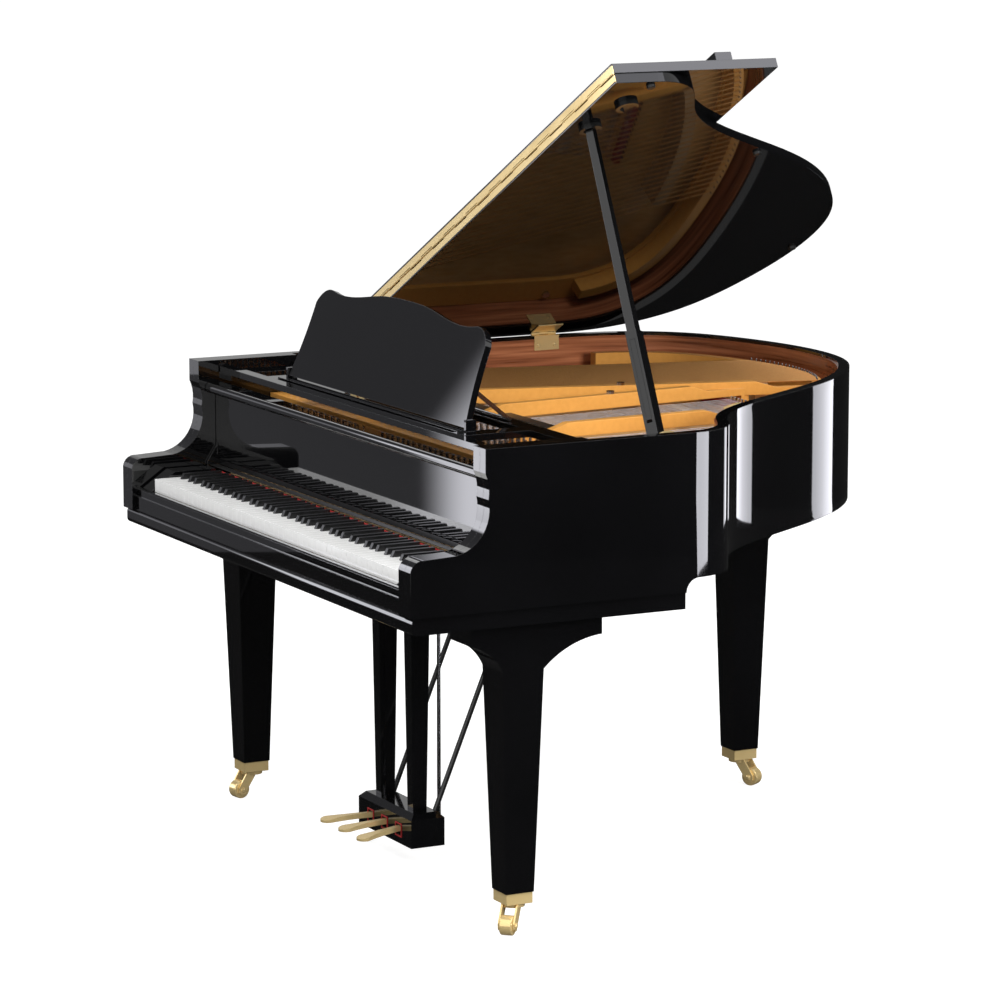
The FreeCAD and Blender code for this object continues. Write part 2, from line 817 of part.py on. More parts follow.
def letter(white):
    """Letter of a white key, where 0 is C. The keyboard starts on A."""
    return (white + first_letter) % len(letter_names)


def sharp_x(white):
    """Middle of the sharp on the right of a white key."""
    return -keyboard_width / 2 + white_pitch * (white + 1 + sharp_shift_shares[letter(white)])


def white_key(white):
    """White key: a wide head and a tail that passes between the sharps."""
    left = -keyboard_width / 2 + white_pitch * white + key_gap / 2
    right = left + white_pitch - key_gap
    tail_left = left
    tail_right = right
    if white > 0 and letter(white - 1) in sharp_letters:
        tail_left = sharp_x(white - 1) + sharp_width / 2 + key_gap
    if white < white_count - 1 and letter(white) in sharp_letters:
        tail_right = sharp_x(white) - sharp_width / 2 - key_gap
    head_y = key_front_y + white_head_length
    outline = [(left, key_front_y), (right, key_front_y), (right, head_y), (tail_right, head_y),
               (tail_right, key_end_y), (tail_left, key_end_y), (tail_left, head_y), (left, head_y)]
    corners = [point for index, point in enumerate(outline) if point != outline[index - 1]]
    lip = box(left, right, key_front_y, key_front_y + key_lip_thickness,
              key_bottom_z - key_lip_drop, key_bottom_z)
    return fused([flat_prism(corners, key_bottom_z, key_top_z), lip])


def sharp_key(white):
    """Black key with a sloping front, on a stick as long as the white keys."""
    x = sharp_x(white)
    front = key_front_y + white_head_length + sharp_gap
    top = key_top_z + sharp_rise
    profile = ((front, key_bottom_z), (front, key_top_z), (front + sharp_slope, top),
               (front + sharp_length, top), (front + sharp_length, key_top_z), (key_end_y, key_top_z),
               (key_end_y, key_bottom_z))
    return side_prism(profile, x - sharp_width / 2, x + sharp_width / 2)


def hammer(x):
    """Hammer: a shank with a bored butt, and a head with a narrow crown."""
    half = hammer_shank / 2
    neck = hammer_length - hammer_head_depth
    shoulder = hammer_head_rise * hammer_shoulder_share
    crown = hammer_head_depth * hammer_crown_share
    corners = [(0, -half), (neck, -half), (neck, -hammer_head_drop), (hammer_length, -hammer_head_drop),
               (hammer_length, shoulder), (hammer_length - crown, hammer_head_rise),
               (neck + crown, hammer_head_rise), (neck, shoulder), (neck, half), (0, half)]
    points = [Vector(x - hammer_width / 2, hammer_pivot_y + y, hammer_pivot_z + z) for y, z in corners]
    butt = points[0] + Vector(0, -half, half)
    outline = Part.Wire([Part.makePolygon(points), Part.Arc(points[-1], butt, points[0]).toShape()])
    face = Part.Face(outline)
    bore = x_rod(hammer_pivot_y, hammer_pivot_z, hammer_pivot_radius + pin_play,
                 x - hammer_width, x + hammer_width)
    return face.extrude(Vector(hammer_width, 0, 0)).cut(bore)


def make_keyboard():
    """Keys in three sets in which no two neighbours move together, and each set's hammers."""
    keys = {"white_keys_a": [], "white_keys_b": [], "black_keys": []}
    hammers = {"hammers_a": [], "hammers_b": [], "hammers_black": []}
    pitch = keyboard_width / hammer_count
    note = 0
    for white in range(white_count):
        set_letter = "ab"[white % 2]
        keys["white_keys_" + set_letter].append(white_key(white))
        hammers["hammers_" + set_letter].append(hammer(-keyboard_width / 2 + pitch * (note + 0.5)))
        note += 1
        if letter(white) in sharp_letters and white < white_count - 1:
            keys["black_keys"].append(sharp_key(white))
            hammers["hammers_black"].append(hammer(-keyboard_width / 2 + pitch * (note + 0.5)))
            note += 1
    for node, solids in (keys | hammers).items():
        save(node, *solids)


def make_key_frame():
    """Frame under the keys with its three rails, and the rails that carry the hammers."""
    half = keyboard_width / 2
    wide = half + action_bracket_thickness
    bottom = arm_bottom + seat_gap
    key_seat = key_bottom_z - seat_gap
    back_start = key_end_y + key_end_room + action_bracket_depth - back_rail_width
    back_end = back_start + back_rail_width
    front_top = key_bottom_z - key_dip_room
    low = front_top - frame_side_drop
    save("key_frame", fused([
        box(-half, half, front_rail_y, front_rail_y + rail_width, bottom, front_top),
        box(-half, half, balance_y - rail_width / 2, balance_y + rail_width / 2, bottom, front_top),
        box(-half, half, balance_y - balance_width / 2, balance_y + balance_width / 2, front_top, balance_z),
        x_rod(balance_y, balance_z, balance_width / 2, -half, half),
        box(-wide, wide, back_start, back_end, bottom, key_seat),
        box(-half, -half + rail_width, front_rail_y, back_end, bottom, low),
        box(half - rail_width, half, front_rail_y, back_end, bottom, low),
    ]))
    beam_back = hammer_pivot_y - hammer_shank / 2 - action_beam_gap
    beam_front = beam_back - action_beam_depth
    beam_low = hammer_pivot_z - action_beam_height / 2
    beam_high = hammer_pivot_z + action_beam_height / 2
    bracket = box(half, wide, key_end_y + key_end_room, back_end, key_seat, beam_high)
    end_plate = box(half, wide, beam_front, back_end, beam_low, beam_high)
    save("action_rails", fused([
        box(-wide, wide, beam_front, beam_back, beam_low, beam_high),
        bracket, mirror_x(bracket), end_plate, mirror_x(end_plate),
        x_rod(hammer_pivot_y, hammer_pivot_z, hammer_pivot_radius, -wide, wide),
    ]))


def make_dampers():
    """Damper heads on the strings, each on a wire that stands on the lifting rail."""
    rail_top = damper_rail_z + damper_rail_size
    heads = []
    treble_count = 2 * plain_section_shares[0][2]
    spots = []
    for left, right in zip(plain_lines[treble_count::2], plain_lines[treble_count + 1::2]):
        middle = (on_line(left, damper_y, 0).x + on_line(right, damper_y, 0).x) / 2
        spots.append((middle, middle - damper_width / 2, string_z + wire_radius + seat_gap))
    bass_pitch = (bass_section_shares[0] - bass_section_shares[1]) * case_width / (len(bass_lines) - 1)
    for line in bass_lines:
        wire_x = on_line(line, damper_y, 0).x - bass_pitch / 2
        head_x = wire_x - damper_width * damper_side_share
        spots.append((wire_x, head_x, bass_string_z + wound_radius + seat_gap))
    for wire_x, left, z in spots:
        width = damper_width
        if z > bass_string_z:
            width = damper_width + bass_pitch * damper_side_share
        head = box(left, left + width, damper_y - damper_length / 2, damper_y + damper_length / 2,
                   z, z + damper_height)
        wire = rod(Vector(wire_x, damper_y, rail_top), Vector(wire_x, damper_y, z + damper_height / 2),
                   damper_wire_radius)
        heads.append(fused([head, wire]))
    ends = [spot[0] for spot in spots]
    rail = box(min(ends) - damper_width, max(ends) + damper_width, damper_y - damper_rail_size / 2,
               damper_y + damper_rail_size / 2, damper_rail_z, rail_top)
    save("dampers", rail, *heads)


def make_key_surround():
    """Key slip in front of the keys and the blocks at both ends of the keyboard."""
    back = slip_front_y + slip_thickness
    top = arm_bottom + slip_height
    save("key_slip", side_prism(((slip_front_y, arm_bottom), (back, arm_bottom), (back, top),
                                 (slip_front_y + 2 * slip_step, top),
                                 (slip_front_y + slip_step, top - slip_step),
                                 (slip_front_y + slip_step, top - slip_step_drop),
                                 (slip_front_y, top - slip_step_drop)), -cheek_inner_x, cheek_inner_x))
    block_top = arm_bottom + key_block_height
    block = side_prism(((back, arm_bottom), (key_block_end_y, arm_bottom), (key_block_end_y, block_top),
                        (key_front_y + white_head_length, block_top), (back, top)),
                       keyboard_width / 2 + key_block_gap, cheek_inner_x - key_block_side_gap)
    save("key_blocks", block, mirror_x(block))


def make_fallboard():
    """Fallboard with its rounded lip, hung on a plate at each end."""
    half = cheek_inner_x - fallboard_end_gap
    back = fallboard_front_y + fallboard_thickness
    panel = box(-half, half, fallboard_front_y, back, fallboard_bottom_z, fallboard_top_z)
    lip = box(-half, half, fallboard_front_y - fallboard_lip_depth, fallboard_front_y,
              fallboard_top_z - fallboard_lip_height, fallboard_top_z)
    front = [edge for edge in lip.Edges
             if edge.CenterOfMass.y < fallboard_front_y - fallboard_lip_depth + seat_gap
             and abs(edge.CenterOfMass.x) < seat_gap]
    lip = lip.makeFillet(fallboard_lip_height * lip_round_share, front)
    reach = fallboard_plate_reach
    plate_top = fallboard_bottom_z + 2 * reach
    low = fallboard_pivot_z - reach
    profile = ((fallboard_pivot_y - reach, low), (fallboard_pivot_y + reach, low),
               (back, fallboard_bottom_z), (back, plate_top), (fallboard_front_y, plate_top),
               (fallboard_pivot_y - reach, fallboard_pivot_z + reach))
    plate = side_prism(profile, half - fallboard_plate_thickness, half)
    bore = x_rod(fallboard_pivot_y, fallboard_pivot_z, fallboard_pin_radius + pin_play,
                 -case_width, case_width)
    save("fallboard", fused([panel, lip, plate, mirror_x(plate)]).cut(bore))


# Music desk

tray_bottom = desk_rail_top + tray_gap
tray_top = tray_bottom + tray_thickness
desk_pivot = Vector(0, desk_pivot_y, tray_top + desk_pivot_rise)


def make_desk_tray():
    """Side rails on the cheeks, and the open tray that slides on them."""
    rail_low = desk_rail_top - desk_rail_height
    rail_end = desk_rail_front_y + desk_rail_length
    rail = side_prism(((desk_rail_front_y, rail_low), (rail_end - desk_rail_height, rail_low),
                       (rail_end, desk_rail_top), (desk_rail_front_y, desk_rail_top)),
                      cheek_inner_x - desk_rail_width, cheek_inner_x)
    save("desk_rails", rail, mirror_x(rail))
    half = cheek_inner_x - tray_side_gap
    rear = tray_front_y + tray_length
    arm_x = desk_width / 2 + desk_lug_thickness + seat_gap * 2
    lug = box(arm_x - desk_lug_thickness, arm_x, desk_pivot_y - desk_pivot_rise,
              desk_pivot_y + desk_pivot_rise, tray_bottom, desk_pivot.z + desk_pivot_rise)
    pin_end = arm_x - desk_lug_thickness - desk_pin_length
    pin = x_rod(desk_pivot.y, desk_pivot.z, desk_pin_radius, pin_end, arm_x)
    arm = box(arm_x - desk_lug_thickness, arm_x + tray_arm_width, tray_front_y, rear, tray_bottom, tray_top)
    middle_end = tray_middle_y + tray_middle_width
    save("desk_tray", fused([
        box(-half, half, tray_front_y, tray_front_y + tray_front_width, tray_bottom, tray_top),
        box(-half, half, rear - tray_rear_width, rear, tray_bottom, tray_top),
        box(-arm_x, arm_x, tray_middle_y, middle_end, tray_bottom, tray_top),
        box(-arm_x, arm_x, tray_middle_y, tray_middle_y + ledge_depth, tray_top, tray_top + ledge_height),
        arm, mirror_x(arm), lug, mirror_x(lug), pin, mirror_x(pin),
    ]))


def lean_back(shape):
    """Lean a piece made upright at the desk's pivot, and move it there."""
    shape.rotate(Vector(0, 0, 0), Vector(1, 0, 0), -desk_tilt)
    shape.translate(desk_pivot)
    return shape


def make_music_desk():
    """Desk panel with its curved top, and the lugs on its back for the strut."""
    def at(share):
        return Vector(share[0] * desk_width, -desk_thickness / 2,
                      share[1] * desk_height - desk_edge_below_pivot)

    def other(share):
        return (-share[0], share[1])

    top = Part.BSplineCurve()
    top.interpolate([at(other(share)) for share in desk_half_shares[:0:-1]]
                    + [at(share) for share in desk_half_shares])
    edges = [top.toShape(), Part.makeLine(at(other(desk_side_shares[1])), at(desk_side_shares[1]))]
    for flip in (lambda share: share, other):
        edges.append(Part.Arc(at(flip(desk_half_shares[-1])), at(flip(desk_corner_shares[0])),
                              at(flip(desk_corner_shares[1]))).toShape())
        edges.append(Part.Arc(at(flip(desk_corner_shares[1])), at(flip(desk_side_shares[0])),
                              at(flip(desk_side_shares[1]))).toShape())
    outline = Part.Wire(Part.sortEdges(edges)[0])
    panel = Part.Face(outline).extrude(Vector(0, desk_thickness, 0))
    socket = x_rod(0, 0, desk_pin_radius + pin_play, desk_width / 2 - desk_pin_length - seat_gap, desk_width)
    lug = box(strut_pivot_x - strut_lug_width / 2, strut_pivot_x + strut_lug_width / 2, desk_thickness / 2,
              strut_pivot_back + strut_lug_size / 2, strut_pivot_up - strut_lug_size / 2,
              strut_pivot_up + strut_lug_size / 2)
    bore = x_rod(strut_pivot_back, strut_pivot_up, desk_pin_radius + pin_play, -desk_width, desk_width)
    desk = fused([panel, lug, mirror_x(lug)]).cut(Part.makeCompound([socket, mirror_x(socket), bore]))
    save("music_desk", lean_back(desk))


def make_desk_strut():
    """Bail behind the desk whose cross bar stands on the tray."""
    pivot = Vector(0, strut_pivot_back, strut_pivot_up)
    turned = FreeCAD.Rotation(Vector(1, 0, 0), -desk_tilt).multVec(pivot)
    place = desk_pivot + turned
    foot_z = tray_top + seat_gap + strut_bar / 2
    droop = math.degrees(math.asin((place.z - foot_z) / strut_length))
    arm_end = strut_pivot_x - strut_lug_width / 2 - 2 * seat_gap
    arm = box(arm_end - strut_bar, arm_end, 0, strut_length, -strut_bar / 2, strut_bar / 2)
    eye = x_rod(0, 0, strut_bar / 2, arm_end - strut_bar, arm_end)
    pin = x_rod(0, 0, desk_pin_radius, arm_end - strut_bar, strut_pivot_x + strut_lug_width / 2)
    bar = x_rod(strut_length, 0, strut_bar / 2, -arm_end, arm_end)
    bail = fused([arm, mirror_x(arm), eye, mirror_x(eye), pin, mirror_x(pin), bar])
    bail.rotate(Vector(0, 0, 0), Vector(1, 0, 0), -droop)
    bail.translate(place)
    save("desk_strut", bail)


# Lid

lid_bottom = rim_top + lid_gap
lid_top = lid_bottom + lid_thickness
lid_axis = Vector(-case_width / 2 + rim_thickness / 2, 0, rim_top + lid_hinge_rise)
flap_axis_z = lid_top + flap_gap / 2
lid_edge_y = lid_split_y + flap_leaf_gap + flap_leaf_thickness


def open_lid(shape):
    """Turn a piece made on the closed lid to the open lid."""
    shape.rotate(lid_axis, Vector(0, -1, 0), lid_angle)
    return shape


def flap_knuckles():
    """Where the long hinge's knuckles start and end, and whose they are."""
    half = case_width / 2 + lid_overhang
    count = int(2 * half / flap_barrel_length)
    step = 2 * half / count
    for index in range(count):
        start = -half + step * index
        yield start + flap_barrel_gap / 2, start + step - flap_barrel_gap / 2, index % 2


def flap_leaf(side, up):
    """One leaf of the long hinge between lid and flap: a strip on the edge and its knuckles."""
    half = case_width / 2 + lid_overhang
    near = lid_split_y + flap_leaf_gap
    radius = flap_leaf_thickness + flap_leaf_gap
    base = flap_axis_z + up * (radius + flap_gap)
    far = base + up * flap_leaf_height
    pieces = [box(-half, half, near, lid_edge_y, min(base, far), max(base, far))]
    for start, end, owner in flap_knuckles():
        if owner != side:
            continue
        barrel = x_rod(lid_split_y, flap_axis_z, radius, start, end)
        neck = box(start, end, near, lid_edge_y, min(base, flap_axis_z), max(base, flap_axis_z))
        pieces += [barrel, neck]
    return fused(pieces)


def rim_leaf(y):
    """Lower leaf of a lid hinge: two knuckles over the rim and a leaf down its inner face."""
    half = lid_leaf_length / 2
    third = lid_leaf_length / 6
    face_x = -case_width / 2 + rim_thickness + lining_thickness
    inner = face_x + lid_leaf_thickness
    pieces = [box(lid_axis.x - lid_barrel_radius, inner, y - half, y + half, rim_top,
                  rim_top + lid_leaf_thickness),
              box(face_x, inner, y - half, y + half, rim_top - rim_leaf_drop, rim_top + lid_leaf_thickness)]
    for start, end in ((y - half, y - third - flap_barrel_gap), (y + third + flap_barrel_gap, y + half)):
        barrel = rod(Vector(lid_axis.x, start, lid_axis.z), Vector(lid_axis.x, end, lid_axis.z),
                     lid_barrel_radius)
        neck = box(lid_axis.x - lid_barrel_radius / 2, lid_axis.x + lid_barrel_radius / 2, start, end,
                   rim_top, lid_axis.z)
        pieces += [barrel, neck]
    pieces.append(rod(Vector(lid_axis.x, y - half, lid_axis.z), Vector(lid_axis.x, y + half, lid_axis.z),
                      lid_hinge_pin_radius))
    return fused(pieces)


def lid_leaf(y):
    """Upper leaf of a lid hinge: one knuckle and a leaf under the lid."""
    half = lid_leaf_length / 2
    third = lid_leaf_length / 6
    low = lid_bottom - lid_leaf_thickness
    clear_x = lid_axis.x + lid_barrel_radius + 2 * seat_gap
    leaf = box(clear_x, lid_axis.x + lid_leaf_width, y - half, y + half, low, lid_bottom)
    tongue = box(lid_axis.x, clear_x, y - third, y + third, low, lid_bottom)
    barrel = rod(Vector(lid_axis.x, y - third, lid_axis.z), Vector(lid_axis.x, y + third, lid_axis.z),
                 lid_barrel_radius)
    bore = rod(Vector(lid_axis.x, y - half, lid_axis.z), Vector(lid_axis.x, y + half, lid_axis.z),
               lid_hinge_pin_radius + pin_play)
    return fused([leaf, tongue, barrel]).cut(bore)


def make_lid():
    """Main lid, its hinge leaves, and the front flap folded back on it."""
    save("main_lid", open_lid(plan_prism(-lid_overhang, lid_edge_y, lid_bottom, lid_top)))
    half = case_width / 2 + lid_overhang
    pin = x_rod(lid_split_y, flap_axis_z, flap_pin_radius, -half, half)
    leaves = [fused([flap_leaf(0, -1), pin])] + [lid_leaf(y) for y in lid_hinge_ys]
    save("lid_hinge_leaves", *[open_lid(leaf) for leaf in leaves])
    save("rim_hinge_leaves", *[rim_leaf(y) for y in lid_hinge_ys])
    low = lid_top + flap_gap
    high = low + lid_thickness
    panel = box(-half, half, lid_edge_y, lid_edge_y + flap_length, low, high)
    rail_y = lid_edge_y + flap_rail_y
    rail_end = cheek_inner_x - flap_rail_gap
    rail = box(-rail_end, rail_end, rail_y, rail_y + flap_rail_width, high, high + flap_rail_height)
    save("front_flap", open_lid(panel), open_lid(rail))
    bore = x_rod(lid_split_y, flap_axis_z, flap_pin_radius + pin_play, -case_width, case_width)
    save("flap_hinge_leaf", open_lid(flap_leaf(1, 1).cut(bore)))


# Lid prop

prop_base = Vector(case_width / 2 - prop_inset, prop_y, rim_top - prop_drop)
prop_fold_x = prop_fold_share * case_width
prop_fold_y = meeting_y(plan_points(prop_fold_inset, plan_count), prop_fold_x, 0)
prop_fold_aim = Vector(prop_fold_x, prop_fold_y, prop_base.z + prop_fold_rise)
lean = math.radians(prop_lean)
prop_way = Vector(-math.sin(lean), 0, math.cos(lean))
prop_fold_way = prop_fold_aim.sub(prop_base).normalize()
prop_axis = prop_way.cross(prop_fold_way).normalize()
prop_side = prop_way.cross(prop_axis)
lid_rise = math.radians(lid_angle)
lid_normal = Vector(-math.sin(lid_rise), 0, math.cos(lid_rise))
lid_face_point = lid_axis + lid_normal * (lid_bottom - lid_axis.z - cup_floor)
prop_length = lid_normal.dot(lid_face_point.sub(prop_base)) / lid_normal.dot(prop_way) - prop_tip_gap
half_pin_y = prop_width / 2 - half_prop_width / 2


def prop_frame(way, side):
    """Placement of the stick's own frame: its pivot along X, its width along Y, its length along Z."""
    across = prop_axis
    return FreeCAD.Placement(FreeCAD.Matrix(
        across.x, side.x, way.x, prop_base.x,
        across.y, side.y, way.y, prop_base.y,
        across.z, side.z, way.z, prop_base.z,
        0, 0, 0, 1))


def set_in_frame(shape, placement):
    """Move a piece from the stick's frame to the part's frame."""
    shape.Placement = placement.multiply(shape.Placement)
    return shape


def make_prop():
    """Lid prop with the half prop nested in it, its bracket and clip, and the cups on the lid."""
    upright = prop_frame(prop_way, prop_side)
    half_width = prop_width / 2
    half_depth = prop_depth / 2
    slot_half = half_prop_depth / 2 + half_prop_gap
    butt = x_rod(0, 0, half_width, -half_depth, half_depth)
    shaft = box(-half_depth, half_depth, -half_width, half_width, 0, prop_thick_length)
    upper = taper(prop_neck_depth, prop_neck_width, prop_thick_length,
                  prop_top_depth, prop_top_width, prop_length, 0, 0)
    slot = box(-slot_half, slot_half, half_width - half_prop_width - half_prop_gap, half_width + overrun,
               half_prop_pivot - half_prop_width / 2 - half_prop_gap,
               half_prop_pivot + half_prop_length + half_prop_gap)
    bore = x_rod(0, 0, prop_pin_radius + pin_play, -prop_width, prop_width)
    half_pin = x_rod(half_pin_y, half_prop_pivot, desk_pin_radius, -half_depth, half_depth)
    stick = fused([fused([butt, shaft, upper]).cut(slot).cut(bore), half_pin])
    save("lid_prop", set_in_frame(stick, upright))
    half_stick = fused([
        box(-half_prop_depth / 2, half_prop_depth / 2, half_width - half_prop_width, half_width,
            half_prop_pivot, half_prop_pivot + half_prop_length),
        x_rod(half_pin_y, half_prop_pivot, half_prop_width / 2, -half_prop_depth / 2, half_prop_depth / 2),
    ]).cut(x_rod(half_pin_y, half_prop_pivot, desk_pin_radius + pin_play, -prop_width, prop_width))
    save("half_prop", set_in_frame(half_stick, upright))
    beside = -half_depth - seat_gap
    centre = prop_base - prop_axis * (half_depth + bracket_thickness / 2)
    wall_x = case_width / 2 - rim_thickness - lining_thickness
    block = box(centre.x - bracket_length / 2, wall_x, centre.y - bracket_length / 2,
                centre.y + bracket_length / 2, centre.z - bracket_height + bracket_thickness,
                centre.z + bracket_thickness)
    stick_side = box(beside, case_depth, -case_depth, case_depth, -case_depth, case_depth)
    stick_side = set_in_frame(stick_side, upright)
    pin = set_in_frame(x_rod(0, 0, prop_pin_radius, beside - bracket_thickness / 2, half_depth), upright)
    folded = prop_frame(prop_fold_way, prop_fold_way.cross(prop_axis))
    clip_z = prop_fold_aim.sub(prop_base).Length
    clip = set_in_frame(box(beside - clip_length, beside - seat_gap, -clip_reach, clip_reach,
                            clip_z - clip_size / 2, clip_z + clip_size / 2), folded)
    room = plan_prism(rim_thickness + lining_thickness, belly_rail_y, plate_z, rim_top)
    save("prop_fittings", fused([block.cut(stick_side), pin]), clip.common(room))
    tip = prop_base + prop_way * prop_length
    closed = FreeCAD.Rotation(Vector(0, -1, 0), -lid_angle)
    spot = lid_axis + closed.multVec(tip.sub(lid_axis))
    way_out = closed.multVec(-prop_side)
    turn = math.degrees(math.atan2(way_out.y, way_out.x))
    cups = []
    for shift in (Vector(0, 0, 0), second_cup_shift):
        low = lid_bottom - cup_height
        base = Vector(spot.x, spot.y, low) + shift
        recess_depth = cup_height - cup_floor
        recess = fused([Part.makeCylinder(cup_slot / 2, recess_depth, base),
                        Part.makeBox(cup_size, cup_slot, recess_depth, base - Vector(0, cup_slot / 2, 0))])
        recess.rotate(base, Vector(0, 0, 1), turn)
        cups.append(open_lid(Part.makeCylinder(cup_size / 2, cup_height, base).cut(recess)))
    save("prop_cups", *cups)


# Legs and casters

def make_leg(node, x, y, top_z):
    """Tapered leg under a capital with a cove on its front and its back."""
    leg_top = top_z - capital_block - capital_cove
    half = leg_top_size / 2
    low_x = x - half
    block_z = top_z - capital_block

    def at(dy, z):
        return Vector(low_x, y + dy, z)

    edges = [Part.makeLine(at(-half, leg_top), at(half, leg_top))]
    for side, reach in ((1, capital_rear_reach), (-1, capital_front_reach)):
        start = at(side * half, leg_top)
        end = at(side * (half + reach), block_z)
        middle = at(side * (half + reach * cove_middle_share[0]),
                    leg_top + capital_cove * cove_middle_share[1])
        edges += [Part.Arc(start, middle, end).toShape(),
                  Part.makeLine(end, at(side * (half + reach), top_z))]
    edges.append(Part.makeLine(at(-half - capital_front_reach, top_z), at(half + capital_rear_reach, top_z)))
    outline = Part.Wire(Part.sortEdges(edges)[0])
    capital = Part.Face(outline).extrude(Vector(leg_top_size, 0, 0))
    shaft = taper(leg_foot_size, leg_foot_size, ferrule_top_z, leg_top_size, leg_top_size, leg_top, x, y)
    save(node, capital, shaft)


def ferrule(x, y):
    """Brass shoe of a leg, bored for the caster's stem."""
    half = ferrule_size / 2
    shoe = box(x - half, x + half, y - half, y + half, ferrule_bottom_z, ferrule_top_z)
    bore = Part.makeCylinder(stem_radius + pin_play, stem_length + seat_gap, Vector(x, y, ferrule_bottom_z))
    return shoe.cut(bore)


def make_caster(name, x, y, turn):
    """Caster with a swivelling fork, its axle, and a wheel beside the swivel."""
    crown_top = ferrule_bottom_z - seat_gap
    crown_low = crown_top - fork_crown_thickness
    inner = wheel_width / 2 + fork_cheek_gap
    outer = inner + fork_cheek
    bend = fork_bend_radius
    hub_x = caster_offset
    profile = ((-bend, crown_top), (2 * bend, crown_top), (hub_x + bend, wheel_radius + bend / 2),
               (hub_x + bend, wheel_radius - bend / 2), (hub_x + bend / 2, wheel_radius - bend),
               (hub_x - bend / 2, wheel_radius - bend), (hub_x - bend, wheel_radius),
               (0, crown_low), (-bend, crown_low))
    points = [Vector(px, inner, pz) for px, pz in profile]
    cheek = Part.Face(Part.makePolygon(points + points[:1])).extrude(Vector(0, fork_cheek, 0))
    other_cheek = cheek.mirror(Vector(0, 0, 0), Vector(0, 1, 0))
    crown = Part.makeCylinder(fork_crown_radius, fork_crown_thickness, Vector(0, 0, crown_low))
    stem = Part.makeCylinder(stem_radius, stem_length, Vector(0, 0, crown_top))
    hub = Vector(caster_offset, 0, wheel_radius)
    reach = Vector(0, outer + fork_cheek_gap, 0)
    axle = rod(hub - reach, hub + reach, axle_radius)
    fork = fused([crown, stem, cheek, other_cheek, axle])
    half = Vector(0, wheel_width / 2, 0)
    wheel = rod(hub - half, hub + half, wheel_radius)
    bore = rod(hub - reach, hub + reach, axle_radius + pin_play)
    wheel = wheel.makeFillet(wheel_fillet, wheel.Edges).cut(bore)
    for node, pieces in ((name + "_fork", (fork,)), (name + "_wheel", (wheel,))):
        for piece in pieces:
            piece.rotate(Vector(0, 0, 0), Vector(0, 0, 1), turn)
            piece.translate(Vector(x, y, 0))
        save(node, *pieces)


def make_legs():
    """Three legs with their shoes and casters."""
    boards = mount_board_upper + mount_board_lower
    places = (("front_left", -front_leg_x, front_leg_y, bed_bottom, front_left_caster_turn),
              ("front_right", front_leg_x, front_leg_y, bed_bottom, front_right_caster_turn),
              ("rear", rear_leg_x, rear_leg_y, rim_bottom - boards, rear_caster_turn))
    for name, x, y, top_z, turn in places:
        make_leg(name + "_leg", x, y, top_z)
        make_caster(name + "_caster", x, y, turn)
    save("leg_ferrules", *[ferrule(x, y) for name, x, y, top_z, turn in places])


# Lyre and pedals

box_front = lyre_y - pedal_box_depth / 2
box_back = lyre_y + pedal_box_depth / 2
box_shoulder = pedal_box_bottom + pedal_box_height - pedal_box_hip
box_top = pedal_box_bottom + pedal_box_height


def make_lyre():
    """Lyre: a block under the keybed, two posts, the pedal box and the braces behind it."""
    block_low = bed_bottom - lyre_block_height
    block = box(-lyre_block_width / 2, lyre_block_width / 2, lyre_y - lyre_block_depth / 2,
                lyre_y + lyre_block_depth / 2, block_low, bed_bottom)
    posts = [taper(post_foot_width, post_foot_depth, box_top, post_top_width, post_top_depth, block_low,
                   x, lyre_y) for x in (-post_spread, post_spread)]
    save("lyre_posts", block, *posts)
    half = pedal_box_width / 2
    hip = taper(pedal_box_width, pedal_box_depth, box_shoulder, pedal_box_width - 2 * pedal_box_hip,
                pedal_box_depth - 2 * pedal_box_hip, box_top, 0, lyre_y)
    hull = fused([box(-half, half, box_front, box_back, pedal_box_bottom, box_shoulder), hip])
    wall = pedal_box_wall
    cavity = box(-half + wall, half - wall, box_front + wall, box_back - wall, pedal_box_bottom - overrun,
                 box_shoulder - wall / 2)
    swing = math.sin(math.radians(pedal_swing))
    slots = []
    for x in (-pedal_pitch, 0, pedal_pitch):
        side = pedal_neck / 2 + slot_play
        low = pedal_z - pedal_thickness / 2 - slot_play
        high = pedal_z + pedal_thickness / 2 + slot_play
        slots.append(box(x - side, x + side, box_front - overrun, box_front + wall,
                         low - swing * (pedal_pivot_y - box_front), high))
        slots.append(box(x - side, x + side, box_back - wall, box_back + overrun,
                         low, high + swing * (box_back - pedal_pivot_y)))
    pin = x_rod(pedal_pivot_y, pedal_z, pedal_pin_radius, -half + wall, half - wall)
    save("pedal_box", hull.cut(Part.makeCompound([cavity] + slots)), pin)
    above = box(-case_width, case_width, 0, case_depth, bed_bottom, rim_top)
    braces = []
    for x in (-brace_spread, brace_spread):
        foot = Vector(x, lyre_y + pedal_box_depth / 2 - pedal_box_hip, box_shoulder)
        head = Vector(x, brace_top_y, bed_bottom)
        over = head.sub(foot).normalize() * brace_radius
        braces.append(rod(foot, head + over, brace_radius).cut(above).cut(hull))
    save("lyre_braces", *braces)


